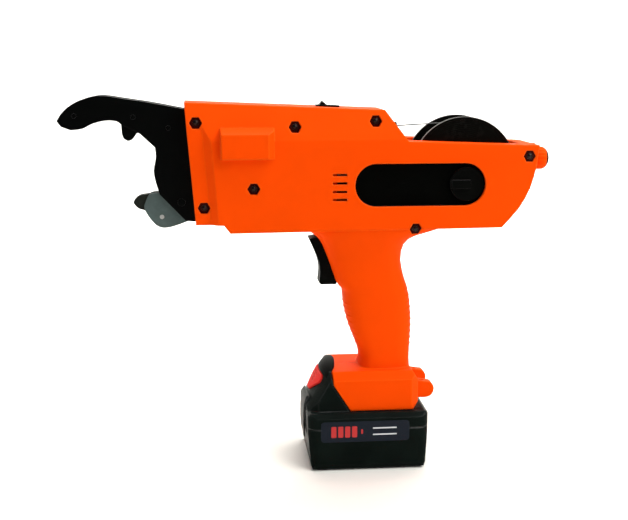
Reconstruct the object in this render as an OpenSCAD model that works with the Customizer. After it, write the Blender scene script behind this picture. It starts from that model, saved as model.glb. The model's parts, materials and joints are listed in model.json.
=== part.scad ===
// Rebar tying tool: a pistol-grip power tool that feeds, curls and twists a loop of steel wire round
// crossed bars. It stands on its battery pack. X runs to the rear, Y to the tool's right and Z up,
// and the origin is the centre of the pack's flat base. All sizes are in millimetres.

/* [Stance] */
// Height of the foot that holds the pack
foot_h = 25.7; // [25:0.1:32]
// Height of the grip between the foot and the body
grip_h = 95; // [92:1:104]

/* [Body shells] */
// Height of the body at its front; the head, drives and spool follow it
body_h = 82.5; // [80:0.5:90]
// Wall of the moulded shells
wall = 2.5; // [2:0.1:2.8]
// Drop of the deck to the rear
deck_drop = 3.2; // [2:0.1:4]

/* [Fasteners] */
// Radius of the housing bolts
bolt_r = 2; // [1.5:0.1:2.2]
// Width across the flats of the nuts
nut_af = 7; // [6:0.1:7.4]
// Depth of the pockets for the nuts and the bolt heads
pocket_d = 5.5; // [5:0.1:6]
// Outer radius of the bosses
boss_r = 5.2; // [4.8:0.1:5.4]

/* [Side panels] */
// Depth of the panel's floor under the side
panel_d = 5; // [4.6:0.1:5.5]

/* [Spool] */
// Distance of the spool's axle behind the origin; the rear of the body follows it
spool_x = 64; // [60:0.1:70]
// Half width of the spool over its flanges; the body's width follows it
spool_w = 13.5; // [12:0.1:15]
// Thickness of a flange
flange_t = 1.5; // [1.2:0.1:2]
// Radius of the axle
axle_r = 5; // [4.5:0.1:5.5]
// Diameter of the tie wire
wire_d = 0.8; // [0.6:0.1:0.9]
// Turns in the winding's outer layer
wind_turns = 16; // [10:1:18]

/* [Head] */
// Thickness of a head plate
plate_t = 3; // [2.5:0.1:3.4]
// Half of the gap between the head plates
gap_w = 6; // [5.9:0.1:6.4]
// Thickness of a lower jaw plate
jaw_t = 2; // [1.6:0.1:2.4]
// Radius of the jaw's pivot pin
jaw_pin_r = 2.5; // [2:0.1:3]

/* [Drives] */
// Radius of the feed motor
feed_motor_r = 10; // [8:0.1:10.4]
// Teeth of the feed gear
gear_n = 28; // [26:1:28]
// Teeth of the feed pinion
pinion_n = 10; // [10:1:11]

/* [Trigger and switches] */
// Half width of the trigger
trigger_w = 7; // [6:0.1:7.5]
// Radius of the trigger's pin
trigger_pin_r = 2; // [1.5:0.1:2.4]
// Length of the rocker switch's bezel
rocker_l = 15.6; // [14:0.1:17]
// Width of the rocker switch's bezel
rocker_w = 10.6; // [10:0.1:12]
// Radius of the torque knob
knob_r = 7.6; // [6.5:0.1:8]
// Length of the torque knob
knob_l = 9.8; // [8:0.1:12]

/* [Battery pack] */
// Radius of a cell; the pack and the foot are built round the cells
cell_r = 9.1; // [8.8:0.1:10.6]
// Length of a cell
cell_l = 65; // [60:0.5:70]
// Wall of the pack
pack_wall = 2.3; // [1.8:0.1:2.6]
// Radius of the cord holes in the lugs behind the foot
eye_r = 1.7; // [1.4:0.1:2]

/* [Hidden] */
$fn = 96;
gap = 0.3;
run = 0.05;
// Heights in the body are given for a height of 82.5 and stretch with it above the lowest 10 mm.
stretch = (body_h - 10) / 72.5;
function hk(h) = h < 10 ? h : 10 + (h - 10) * stretch;
function hp(p) = [for (q = p) [q[0], hk(q[1])]];
cell_p = 2 * cell_r + 0.8;
pack_w = cell_p + cell_r + pack_wall + 2.6;
pack_l = cell_l + 16;
pack_h = 2 * cell_r + 2 * pack_wall + 16.2;
seam_h = pack_h - 10.5;
foot_w = pack_w - 6;
rail_w = foot_w - 9;
zf = pack_h + gap;
zg = zf + foot_h;
z0 = zg + grip_h;
side_w = spool_w + 13.5;
nose_w = side_w - 4;
top_w = side_w - 10;
in_w = side_w - wall;
floor_y = side_w - panel_d;
plate_y = gap_w + plate_t;
bay_y = spool_w + 1;
crease_h = hk(58.5);
top_end_h = hk(77.3);
deck_h = hk(57.6);
spool_z = z0 + hk(38);
spool_r = hk(38) * 34.5 / 38;
core_r = 0.464 * spool_r;
bay_end = spool_x + spool_r + 3;
rear_x = bay_end + 9.8;
deck_x = spool_x - spool_r - 4.5;
top_end_x = deck_x - 14.5;
lock_x = spool_x - 0.1;
window_h = 0.48 * deck_h;
window_l = lock_x + window_h / 2 + 7.5;
window_x = lock_x - 2 + window_h / 2 - window_l / 2;
window_z = spool_z - axle_r - 3.3;
lock_r = window_h / 2 - 2.8;
jaw_x = -120.5;
jaw_z = z0 + hk(18);
trigger_x = -24.5;
trigger_z = z0 - 6;
shaft_r = gap_w - 1;
twist_z = z0 + hk(39.5);
motor_r = floor_y - 4.5;
box_x = -44;
box_l = 21.5;
motor_l = deck_x - 2.5 - box_x - box_l;
feed_x = -77.5;
feed_z = z0 + hk(54.5);
feed_r = 6.35 * stretch;
nip_z = feed_z + feed_r + 0.15;
idler_z = nip_z + feed_r + 0.15;
gear_m = stretch;
gear_y = side_w - 12.5;
mesh_l = gear_m * (gear_n + pinion_n) / 2;
pinion_x = feed_x + sqrt(mesh_l * mesh_l - 4);
pinion_z = feed_z - 2;
mesh_a = atan2(pinion_z - feed_z, pinion_x - feed_x);
tail_x = pinion_x - 5.9;
// The wire leaves the top of the winding on a tangent and runs straight to the feed wheels.
wire_line_r = spool_r - 4.18;
wire_a = atan2(spool_z - nip_z, spool_x - feed_x) + asin(wire_line_r / norm([spool_x - feed_x, spool_z - nip_z]));
wire_k = tan(wire_a);
inlet_x = top_end_x + 8.1;
wind_r = wire_line_r - wire_d - 0.4;
wind_pitch = (2 * (spool_w - flange_t) - 2 * wire_d - 1) / wind_turns;
knob_z = z0 + deck_h - 13.6;
collar_x = rear_x + 3.3;
front_x = feed_x - 33.4;
lean = 4.57;
top_a = atan((body_h - top_end_h) / (top_end_x - front_x + body_h * tan(lean)));
rocker_x = -25;
rocker_z = z0 + top_end_h + (top_end_x - rocker_x) * tan(top_a);
hump_x = -pack_l / 2;
foot_x = hump_x + 17;
heel_x = pack_l / 2 - 6;
slope_x = hump_x + 3.1;
slope_z = pack_h + 8.8;
slope_a = 60;
press = 2;

// Lean of the cord holes, so that a cord passes behind the pack.
eye_a = 20;

// The seven bolts: place along the tool and height above the body's underside.
bolts = [[-110.4, hk(69.7)], [-47.7, hk(66.9)], [top_end_x - 6.3, hk(70.3)], [-74.4, hk(28.1)], [-106, hk(15.8)],
    [deck_x + 5.4, 1], [bay_end + boss_r - 2.1, deck_h - 10.2]];
head_bolts = [bolts[0], bolts[3], bolts[4]];
frame_bolts = [bolts[1], bolts[2], bolts[5], bolts[6]];

// Sections of the grip: share of its height, front edge, rear edge, half width.
grip_rings = [[-0.06, -6.2, 31.6, 17.5], [0.04, -2.8, 31, 16.6], [0.13, -4.2, 31.2, 16.2], [0.29, -10.1, 31.8, 16.2],
    [0.4, -12.8, 31.4, 16.4], [0.5, -14.2, 30.4, 16.8], [0.555, -15, 29.2, 17], [0.585, -18, 28.6, 17.1],
    [0.63, -20.4, 27, 17.4], [0.76, -24.6, 24.3, 18.8], [0.88, -29, 26.4, 21.4], [0.94, -33, 34, 23.6],
    [0.985, -39, 49, 25], [1.03, -42, 58, 25.6]];

// Moves every edge of a counterclockwise outline inwards by d.
function inset(p, d) = let (n = len(p)) [for (i = [0 : n - 1])
    let (a = p[(i + n - 1) % n], b = p[i], c = p[(i + 1) % n], u = (b - a) / norm(b - a), v = (c - b) / norm(c - b))
    b + d * [-u[1] - v[1], u[0] + v[0]] / (1 + u * v)];
// A smooth curve through points, n steps to a span.
function curve(p, n) = let (m = len(p) - 1) concat([for (i = [0 : m - 1], k = [0 : n - 1])
    let (t = k / n, a = p[max(i - 1, 0)], b = p[i], c = p[i + 1], d = p[min(i + 2, m)])
    (2 * b + (c - a) * t + (2 * a - 5 * b + 4 * c - d) * t * t + (3 * b - a - 3 * c + d) * t * t * t) / 2], [p[m]]);
function arc(c, r, a0, a1, n) = [for (k = [0 : n]) c + r * [cos(a0 + (a1 - a0) * k / n), sin(a0 + (a1 - a0) * k / n)]];
function lift(p, h) = [for (q = p) [q[0], q[1] + h]];
function both(p) = concat(p, [for (i = [len(p) - 1 : -1 : 0]) [-p[i][0], p[i][1]]]);
function flip(p) = [for (i = [len(p) - 1 : -1 : 0]) p[i]];
// Half width of the body's side at a place, over its creases and its nose.
function section_w(h) = h > crease_h ? side_w - (h - crease_h) * (side_w - top_w) / (body_h - crease_h) : side_w;
function plan_w(u) = u < front_x + 10 ? nose_w : side_w;
function face_y(b) = min(section_w(b[1]), plan_w(b[0] + b[1] * tan(lean))) - (b[1] < 3 ? 1 : 0);

// An outline in the X-Z plane, carried from y0 to y1.
module side(p, y0, y1) {
    translate([0, y1, 0])
        rotate([90, 0, 0])
            linear_extrude(y1 - y0)
                polygon(p);
}
// An outline in the Y-Z plane, carried from x0 to x1.
module cross(p, x0, x1) {
    translate([x0, 0, 0])
        rotate([90, 0, 90])
            linear_extrude(x1 - x0)
                polygon(p);
}
module ycyl(x, z, r, y0, y1) {
    translate([x, y1, z])
        rotate([90, 0, 0])
            cylinder(r = r, h = y1 - y0);
}
module xcyl(y, z, r, x0, x1) {
    translate([x0, y, z])
        rotate([0, 90, 0])
            cylinder(r = r, h = x1 - x0);
}
module box(x0, x1, y0, y1, z0, z1) {
    translate([x0, y0, z0])
        cube([x1 - x0, y1 - y0, z1 - z0]);
}
// A round tube on rings of points: path, and two unit directions across it at each point.
module tube(p, u, v, r, sides) {
    n = len(p);
    polyhedron([for (i = [0 : n - 1], k = [0 : sides - 1])
        p[i] + r * (cos(360 * k / sides) * u[i] + sin(360 * k / sides) * v[i])],
        concat([[for (k = [0 : sides - 1]) k]], [[for (k = [sides - 1 : -1 : 0]) (n - 1) * sides + k]],
        [for (i = [0 : n - 2], k = [0 : sides - 1]) [i * sides + k, (i + 1) * sides + k, i * sides + (k + 1) % sides]],
        [for (i = [0 : n - 2], k = [0 : sides - 1]) [i * sides + (k + 1) % sides, (i + 1) * sides + k,
            (i + 1) * sides + (k + 1) % sides]]));
}
function coil_path(r, l, turns, d, steps) = let (n = turns * steps, e = [0, 1, 0] * d)
    concat([[r, 0, 0] - e], [for (i = [0 : n]) [r * cos(360 * i / steps), r * sin(360 * i / steps), l * i / n]],
        [[r * cos(360 * turns), r * sin(360 * turns), l] + e]);
function coil_u(turns, steps) = let (n = turns * steps) concat([[1, 0, 0]],
    [for (i = [0 : n]) [cos(360 * i / steps), sin(360 * i / steps), 0]], [[1, 0, 0]]);
// A coil along Z, with whole turns and both ends straight for one diameter of its wire.
module coil(r, l, turns, d, steps) {
    u = coil_u(turns, steps);
    tube(coil_path(r, l, turns, d, steps), u, [for (q = u) [0, 0, -1]], d / 2, 6);
}
// A spur gear in the X-Y plane with straight-sided teeth and working backlash.
module gear(n, m, phase) {
    p = 360 / n;
    r = n * m / 2;
    polygon([for (i = [0 : n - 1], k = [[-0.3, -1.1], [-0.12, 0.8], [0.12, 0.8], [0.3, -1.1]])
        (r + k[1] * m) * [cos(phase + (i + k[0]) * p), sin(phase + (i + k[0]) * p)]]);
}
module stadium(grow, y0, y1) {
    r = window_h / 2 + grow;
    h = window_l / 2 - window_h / 2;
    ycyl(window_x - h, window_z, r, y0, y1);
    ycyl(window_x + h, window_z, r, y0, y1);
    box(window_x - h, window_x + h, y0, y1, window_z - r, window_z + r);
}

// Outlines of the body: from the side, across and from above.
nose_h = 5;
rear_top = [rear_x, deck_h - deck_drop];
body_side = concat([[front_x - nose_h * tan(lean), nose_h], [-93.5, nose_h], [-89.5, -0.4], [rear_x - 24.3, 1.2]],
    curve([[rear_x - 24.3, 1.2], [rear_x - 13.2, hk(13.2)], [rear_x - 5.7, hk(26.4)], [rear_x - 2, hk(40.4)],
        rear_top], 2),
    [[deck_x, deck_h], [top_end_x, top_end_h], [front_x - body_h * tan(lean), body_h]]);
body_cross = both([[20, -10], [side_w, 1.6], [side_w, crease_h], [top_w, body_h], [top_w - 2, body_h + 5]]);
body_plan = both([[nose_w, -160], [nose_w, front_x + 10], [side_w, front_x + 15], [side_w, rear_x - 27],
    [side_w - 4, rear_x + 20]]);
foot_side = [[foot_x + 12.1, 0], [heel_x - 3.5, 0], [heel_x, 4], [heel_x, foot_h - 6.7], [heel_x - 4, foot_h],
    [foot_x, foot_h], [foot_x + 0.7, foot_h - 8]];
foot_cross = both([[foot_w, 0], [foot_w, foot_h - 5], [foot_w - 5, foot_h]]);

module body_solid(d) {
    intersection() {
        side(lift(inset([for (i = [0 : len(body_side) - 1]) if (i != 4) body_side[i]], d), z0), -50, 0);
        cross(lift(inset(body_cross, d), z0), -140, 140);
        translate([0, 0, z0])
            rotate([0, -lean, 0])
                translate([0, 0, -30])
                    linear_extrude(150)
                        polygon([for (q = inset(body_plan, d)) [q[1], q[0]]]);
    }
}
module grip_solid(d) {
    rings = curve(grip_rings, 2);
    n = len(rings);
    k = 16;
    m = k + 1;
    pts = [for (q = rings, j = [0 : k])
        let (a = 180 * j / k, hx = (q[2] - q[1]) / 2 - d, c = cos(a), s = sin(a))
        [(q[1] + q[2]) / 2 + hx * sign(c) * pow(abs(c), 0.62),
            j == 0 || j == k ? 0 : -(q[3] * side_w / 27 - d) * pow(s, 0.62), zg + q[0] * grip_h]];
    polyhedron(pts, concat([[for (j = [k : -1 : 0]) j]], [[for (j = [0 : k]) (n - 1) * m + j]],
        [for (i = [0 : n - 2]) [i * m, i * m + k, (i + 1) * m + k, (i + 1) * m]],
        [for (i = [0 : n - 2], j = [0 : k - 1]) [i * m + j, (i + 1) * m + j, i * m + j + 1]],
        [for (i = [0 : n - 2], j = [0 : k - 1]) [i * m + j + 1, (i + 1) * m + j, (i + 1) * m + j + 1]]));
}
module foot_solid() {
    intersection() {
        side(lift(foot_side, zf), -50, 0);
        cross(lift(foot_cross, zf), -60, 60);
        translate([0, 0, zf - 5])
            linear_extrude(foot_h + 10)
                polygon([[foot_x - 0.1, 0], [foot_x - 0.1, -foot_w - 0.1], [heel_x - 5, -foot_w - 0.1],
                    [heel_x + 0.1, 5 - foot_w], [heel_x + 0.1, 0]]);
    }
}
// The raised block over the feed gear, on the left side only.
module block(d) {
    intersection() {
        cross([[-side_w - 5 + d, z0 + hk(47.4) + d], [-side_w - 5 + d, z0 + hk(62.9) - d],
            [-side_w + 5, z0 + hk(67.4) - d], [11 - side_w, z0 + hk(67.4) - d], [11 - side_w, z0 + hk(46.5) + d]],
            -96 + d, -59 - d);
        translate([0, 0, z0])
            linear_extrude(120)
                polygon([[-95.8 + d, 11 - side_w], [-61.2 - d, 11 - side_w], [-61.2 - d, -side_w + d / 2],
                    [-64.8 - d, -side_w - 5 + d], [-94.7 + d, -side_w - 5 + d]]);
    }
}
module shell_inside() {
    body_solid(wall);
    difference() {
        grip_solid(wall);
        box(-80, 80, -60, 1, z0 + 3, z0 + 90);
        box(-80, 80, -60, 1, zf - 30, zg - 6);
    }
}
// What stands inside a shell: bosses, bay walls, bulkhead and ribs.
module shell_fittings() {
    intersection() {
        body_solid(0.4);
        union() {
            for (b = head_bolts)
                ycyl(b[0], z0 + b[1], boss_r, -side_w, -plate_y);
            for (b = frame_bolts)
                ycyl(b[0], z0 + b[1], boss_r, -side_w, 0);
            box(deck_x + 1.5, bay_end, -bay_y - 2, -bay_y, z0, z0 + deck_h);
            box(deck_x - 0.5, deck_x + 1.5, -floor_y + 2.2, 0, z0, z0 + deck_h);
            difference() {
                box(box_x + box_l - 1, box_x + box_l + 1.5, -side_w, 0, z0, twist_z + motor_r + 2.5);
                xcyl(0, twist_z, motor_r + 0.25, -60, 30);
            }
            box(-86, -46, -side_w, 9 - side_w, z0, z0 + 4.5);
            xcyl(0, knob_z, 10.2, rear_x - 8.5, rear_x + 20);
        }
    }
    intersection() {
        grip_solid(0.4);
        union() {
            ycyl(trigger_x, trigger_z, 5, -20, -trigger_w - gap);
            ycyl(bolts[5][0], z0 + bolts[5][1], boss_r, -30, 0);
            box(-6, 14, -18, -trigger_w - 0.1, trigger_z - 24, trigger_z - 20);
        }
    }
    difference() {
        xcyl(0, knob_z, 10.2, rear_x - 5.5, collar_x);
        box(rear_x - 20, rear_x + 30, 0, 20, z0, z0 + 120);
    }
}
module shell_cuts() {
    // bay over the spool
    box(deck_x + 1.5, bay_end, -bay_y, 1, z0 + deck_h - 7, z0 + 120);
    ycyl(spool_x, spool_z, axle_r + run, -bay_y - 3, 1);
    // opening for the head, wire and switch
    box(front_x - 20, front_x + 6, -plate_y - gap, 1, z0 + 7.5, z0 + body_h - 4.1);
    along_wire(inlet_x - 20, inlet_x + 20)
        circle(r = 2.6);
    along_wire(-60, inlet_x)
        circle(r = 1.2);
    translate([rocker_x, 0, rocker_z])
        rotate([0, top_a, 0])
            box(-rocker_l / 2 + 0.9, rocker_l / 2 - 0.9, -rocker_w / 2 + 0.9, 1, -10, 10);
    // window and vents
    stadium(0, -side_w - 10, -in_w + 1);
    for (h = [36.6, 31.2, 25.7, 20.6])
        box(-23.9, -14.7, -side_w - 10, -in_w + 1, z0 + hk(h) - 0.75, z0 + hk(h) + 0.75);
    // trigger's slot and pin
    box(-60, -9, -trigger_w - gap, 1, trigger_z - 34.4, trigger_z + 0.3);
    ycyl(trigger_x, trigger_z, 6.2, -trigger_w - gap, 1);
    ycyl(trigger_x, trigger_z, trigger_pin_r, -13, 1);
    // torque knob
    xcyl(0, knob_z, 7.6, rear_x - 6.5, collar_x - 2.4);
    xcyl(0, knob_z, 3 + run, rear_x - 9.5, rear_x + 20);
    // rail of the pack, terminals and eyes
    box(-60, heel_x - 9.9, -rail_w + 3 - gap, 1, zf - 5, zf + 6);
    box(-60, heel_x - 9.9, -rail_w - gap, 1, zf + 4, zf + 10.4);
    box(heel_x - 10.1, heel_x - 3.5, -15.1, 1, zf + 2.9, zf + 14.1);
    box(foot_x + 7.5, heel_x - 10.5, -15, 1, zf + 13, zg - 4);
    box(2, 22, -10, 1, zg - 5, zg + 2);
    box(heel_x - 3.6, heel_x + 5.5, -17.3, 1, zf + 4.9, zf + 17.1);
}
module shell(nuts) {
    difference() {
        union() {
            difference() {
                union() {
                    body_solid(0);
                    grip_solid(0);
                    foot_solid();
                    if (nuts)
                        block(0);
                }
                shell_inside();
                if (nuts)
                    block(wall);
            }
            shell_fittings();
        }
        shell_cuts();
        for (b = bolts) {
            ycyl(b[0], z0 + b[1], bolt_r + 0.1, -50, 1);
            if (nuts)
                translate([b[0], -face_y(b) + pocket_d, z0 + b[1]])
                    rotate([90, 0, 0])
                        cylinder(r = (nut_af + 0.2) / 2 / cos(30), h = 30, $fn = 6);
            else
                ycyl(b[0], z0 + b[1], nut_af / 2 + 0.4, -50, -face_y(b) + pocket_d);
        }
    }
}
module left_housing() {
    color("orangered")
        shell(true);
}
module right_housing() {
    color("orangered")
        mirror([0, 1, 0])
            shell(false);
}
// A tray behind the side's window, whose floor carries the turn lock.
module panel() {
    difference() {
        stadium(2.6, -in_w, -floor_y + 2);
        stadium(0, -in_w - 1, -floor_y);
    }
}
module left_panel() {
    color("#202020")
        difference() {
            panel();
            ycyl(lock_x, window_z, 3 + run, -40, 0);
        }
}
module right_panel() {
    color("#202020")
        mirror([0, 1, 0])
            panel();
}
module housing_bolts() {
    color("silver")
        for (b = bolts)
            difference() {
                union() {
                    ycyl(b[0], z0 + b[1], bolt_r, -face_y(b) + 2, face_y(b) - pocket_d + 0.5);
                    ycyl(b[0], z0 + b[1], nut_af / 2, face_y(b) - pocket_d, face_y(b) - 1.6);
                }
                translate([b[0], face_y(b), z0 + b[1]])
                    rotate([90, 0, 0])
                        cylinder(r = 1.75, h = 3.6, $fn = 6);
            }
}
module housing_nuts() {
    color("silver")
        for (b = bolts)
            difference() {
                translate([b[0], -face_y(b) + pocket_d, z0 + b[1]])
                    rotate([90, 0, 0])
                        cylinder(r = nut_af / 2 / cos(30), h = 3, $fn = 6);
                ycyl(b[0], z0 + b[1], bolt_r + run, -50, 0);
            }
}

// Head plates: hooked arm above, straight shear edge below, tail inside the body.
arm_top = curve([[-118.9, 78.2], [-139.1, 82.1], [-158, 85], [-166.1, 86.3], [-173.6, 86.3], [-183, 83.8],
    [-190.7, 79.5], [-195.6, 74.6]], 3);
arm_under = curve([[-189.4, 64.9], [-181.9, 65.8], [-176.1, 68.7], [-167.9, 70.8], [-160.9, 70.5],
    [-157.9, 68.6]], 3);
claw = curve([[-157.6, 62.6], [-156.6, 59.6], [-154.1, 57.8], [-151.4, 58.4], [-149.6, 60.4], [-148.2, 62.4],
    [-146, 63], [-144.2, 61.4]], 3);
head_front = curve([[-136.7, 53.7], [-136.3, 47.3], [-137.8, 38.9], [-136.7, 31.1], [-134.3, 23.3]], 3);
plate_side = concat([[front_x + 2, 77.6]], arm_top, [[-197.9, 70.7], [-195.5, 67.2]], arm_under, [[-146, 62.4]],
    head_front,
    [[-118, 6], [-113, 5.4], [-113, 9], [-100, 9], [tail_x - 3.5, 22], [tail_x, 30], [tail_x, 71],
        [tail_x - 5.5, 75]]);
module head_plate() {
    difference() {
        side(lift(hp(plate_side), z0), -plate_y, -gap_w);
        for (b = head_bolts)
            ycyl(b[0], z0 + b[1], bolt_r + 0.1, -50, 0);
        ycyl(jaw_x, jaw_z, jaw_pin_r + run, -50, 0);
        ycyl(feed_x, feed_z, 2.5 + run, -50, 0);
        ycyl(feed_x, idler_z, 2 + run, -50, 0);
        for (q = hp([[-187, 74], [-150, 73], [-128, 66]]))
            ycyl(q[0], z0 + q[1], 1.5 + run, -50, 0);
    }
}
module left_head_plate() {
    color("#181818")
        head_plate();
}
module right_head_plate() {
    color("#181818")
        mirror([0, 1, 0])
            head_plate();
}
// Wire guide between the plates, with a groove round its inner curve and a claw behind the hook.
guide_side = concat([[-121.5, 77]], [for (q = arm_top) if (q[0] < -130) q - [0, 0.5]], [[-196.5, 71], [-194.5, 67.8]],
    [for (q = arm_under) if (q[0] > -188) q + [0, 0.3]], claw, [[-140, 57], [-121.5, 57]]);
groove_side = concat(flip(arm_under), [[-190, 67.6]], [for (q = arm_under) q + [0, 3]], [[-157, 66]]);
module curl_guide() {
    color("#404040")
        difference() {
            side(lift(hp(guide_side), z0), -gap_w, gap_w);
            side(lift(hp(groove_side), z0 - 0.2), -1, 1);
            translate([feed_x, 0, nip_z])
                rotate([0, -90 - wire_a, 0])
                    cylinder(r = wire_d / 2 + 0.4, h = 76);
            for (q = hp([[-187, 74], [-150, 73], [-128, 66]]))
                ycyl(q[0], z0 + q[1], 1.5 + run, -50, 50);
        }
}
module head_spacers() {
    color("#303030")
        for (q = hp([[-187, 74], [-150, 73], [-128, 66]]))
            ycyl(q[0], z0 + q[1], 1.5, -plate_y, plate_y);
}
module along_wire(x0, x1) {
    translate([feed_x, 0, nip_z])
        rotate([0, 90 - wire_a, 0])
            translate([0, 0, (x0 - feed_x) / cos(wire_a)])
                linear_extrude((x1 - x0) / cos(wire_a))
                    children();
}
die_z = nip_z + wire_k * (-118 - feed_x);
module cutter_die() {
    color("silver")
        difference() {
            box(-121.2, -114.5, -gap_w, gap_w, die_z - 2.4, die_z + 3.6);
            along_wire(-130, -100)
                circle(r = wire_d / 2 + 0.3);
        }
}
module guide_tube() {
    color("silver")
        along_wire(-114, feed_x - feed_r - 1.05)
            difference() {
                circle(r = wire_d / 2 + 1.2);
                circle(r = wire_d / 2 + 0.3);
            }
}
module inlet_bush() {
    color("#202020")
        along_wire(inlet_x - 7, inlet_x + 2.6)
            difference() {
                circle(r = 2.5);
                circle(r = wire_d / 2 + 0.4);
            }
}
module tie_wire() {
    color("lightgray")
        along_wire(-125, spool_x - wire_line_r * sin(wire_a))
            circle(r = wire_d / 2, $fn = 24);
}

// Lower jaw: two side plates on a guide, hung between the head plates.
jaw_side = concat(curve([[-135.6, 24], [-140.8, 23.2], [-143.6, 18.6], [-144.6, 14], [-141.8, 8.3], [-137.4, 3],
    [-132.3, 1], [-125.2, 2.2], [-116.2, 5.4]], 3), arc([jaw_x, 18], 7.2, -50, 90, 8));
jaw_core = concat(curve([[-135.4, 23.6], [-141, 23], [-147.6, 22], [-151.6, 18], [-148.6, 13.8], [-144, 12.2],
    [-141.4, 8.6], [-137, 3.4], [-132, 1.4], [-127, 2.4]], 3), [[-127, 23.6]]);
// Place, height and depth under the plates' outer faces; the front rivet is blind.
rivets = [[-133.4, 8.2, 0], [-138.4, hk(15), 1]];
module jaw_plates() {
    color("gray")
        difference() {
            union() {
                side(lift(hp(jaw_side), z0), -gap_w + gap, -gap_w + gap + jaw_t);
                side(lift(hp(jaw_side), z0), gap_w - gap - jaw_t, gap_w - gap);
            }
            ycyl(jaw_x, jaw_z, jaw_pin_r + run, -20, 20);
            for (q = rivets)
                ycyl(q[0], z0 + q[1], 1.4 + run, gap - gap_w + q[2] - run, gap_w - gap - q[2] + run);
        }
}
module jaw_guide() {
    y = gap_w - gap - jaw_t;
    color("#202020")
        difference() {
            side(lift(hp(jaw_core), z0), -y, y);
            box(-153, -134, -0.8, 0.8, z0 + hk(20.6), z0 + hk(26));
            for (q = rivets)
                ycyl(q[0], z0 + q[1], 1.4 + run, -20, 20);
        }
}
module jaw_rivets() {
    color("silver")
        for (q = rivets)
            ycyl(q[0], z0 + q[1], 1.4, gap - gap_w + q[2], gap_w - gap - q[2]);
}
module jaw_pin() {
    color("silver")
        ycyl(jaw_x, jaw_z, jaw_pin_r, -plate_y, plate_y);
}
jaw_coil = 2 * (gap_w - gap - jaw_t - 1.5);
module jaw_spring() {
    color("lightgray")
        translate([jaw_x, jaw_coil / 2, jaw_z])
            rotate([90, 0, 0])
                coil(jaw_pin_r + 1, jaw_coil, 3, 0.2 * jaw_coil, 16);
}

// Twisting drive.
module shaft_bearing() {
    color("goldenrod")
        difference() {
            box(-95, -87, -gap_w, gap_w, twist_z - 8, twist_z + 8);
            xcyl(0, twist_z, shaft_r + run, -100, -80);
        }
}
module twist_shaft() {
    color("silver")
        difference() {
            xcyl(0, twist_z, shaft_r, -126, box_x + 6);
            box(-130, -112, -1.5 - run, 1.5 + run, twist_z - 8, twist_z + 8);
        }
}
module twist_hooks() {
    color("dimgray")
        for (s = [-1, 1])
            translate([0, 0, twist_z])
                mirror([0, 0, s < 0 ? 1 : 0])
                    side([[-113, 0.4], [-113, 4], [-122, 4.6], [-129, 5.4], [-134, 3.4], [-134.6, 1.2], [-132.8, 1.4],
                        [-128, 2.6], [-124, 1.6], [-120, 0.4]], -1.5, 1.5);
}
module gearbox() {
    color("darkgray")
        difference() {
            union() {
                xcyl(0, twist_z, motor_r - 0.5, box_x, box_x + box_l);
                xcyl(0, twist_z, 9, box_x - 3, box_x + 1);
            }
            xcyl(0, twist_z, shaft_r + run, box_x - 4, box_x + 6.3);
        }
}
module twist_motor() {
    color("gray")
        union() {
            xcyl(0, twist_z, motor_r, box_x + box_l, box_x + box_l + motor_l);
            xcyl(0, twist_z, 6, box_x + box_l + motor_l - 1, deck_x - 0.6);
        }
}

// Wire feed: a geared wheel below the wire and an idler above it.
module wheel(z) {
    difference() {
        ycyl(feed_x, z, feed_r, -3, 3);
        difference() {
            ycyl(feed_x, z, 10, -0.7, 0.7);
            ycyl(feed_x, z, feed_r + 0.05 - wire_d / 2, -1, 1);
        }
    }
}
module feed_shaft() {
    color("silver")
        ycyl(feed_x, feed_z, 2.5, -gear_y - 4.9, plate_y + 0.4);
}
module feed_wheel() {
    color("dimgray")
        difference() {
            wheel(feed_z);
            ycyl(feed_x, feed_z, 2.5 + run, -10, 10);
        }
}
module feed_gear() {
    color("goldenrod")
        difference() {
            translate([feed_x, -gear_y, feed_z])
                rotate([90, 0, 0])
                    linear_extrude(4.5)
                        gear(gear_n, gear_m, mesh_a);
            ycyl(feed_x, feed_z, 2.5 + run, -30, 0);
        }
}
module idler_pin() {
    color("silver")
        ycyl(feed_x, idler_z, 2, -plate_y - 0.4, plate_y + 0.4);
}
module idler_wheel() {
    color("dimgray")
        difference() {
            wheel(idler_z);
            ycyl(feed_x, idler_z, 2 + run, -10, 10);
        }
}
module feed_motor() {
    color("gray")
        union() {
            ycyl(pinion_x, pinion_z, feed_motor_r, plate_y + 0.4, in_w - 3);
            ycyl(pinion_x, pinion_z, 3.5, 5, plate_y + 1);
        }
}
module feed_pinion() {
    color("goldenrod")
        union() {
            ycyl(pinion_x, pinion_z, 1.5, -gear_y - 4.9, 4.8);
            translate([pinion_x, -gear_y, pinion_z])
                rotate([90, 0, 0])
                    linear_extrude(4.5)
                        gear(pinion_n, gear_m, mesh_a + 180 + 180 / pinion_n);
        }
}

// Spool, its axle and the lock that holds the axle.
module spool_axle() {
    color("silver")
        difference() {
            union() {
                ycyl(spool_x, spool_z, axle_r, -floor_y + 2.4, bay_y + 2.1);
                ycyl(spool_x, spool_z, axle_r + 2.5, bay_y + 2.1, floor_y - 2.2);
            }
            difference() {
                ycyl(spool_x, spool_z, axle_r + 1, -floor_y + 2.9, -floor_y + 5.2);
                ycyl(spool_x, spool_z, axle_r - 1.8, -40, 0);
            }
        }
}
module spool() {
    color("#202020")
        translate([spool_x, 0, spool_z])
            rotate([90, 0, 0])
                rotate_extrude()
                    polygon([[axle_r + 0.08, -spool_w + 0.4], [axle_r + 0.08, spool_w - 0.4],
                        [spool_r - 2, spool_w - 0.4], [spool_r - 2, spool_w], [spool_r, spool_w],
                        [spool_r, spool_w - flange_t], [core_r, spool_w - flange_t],
                        [core_r, flange_t - spool_w], [spool_r, flange_t - spool_w], [spool_r, -spool_w],
                        [spool_r - 2, -spool_w], [spool_r - 2, 0.4 - spool_w]]);
}
wind_mid = wind_r - wire_d / 2;
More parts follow.
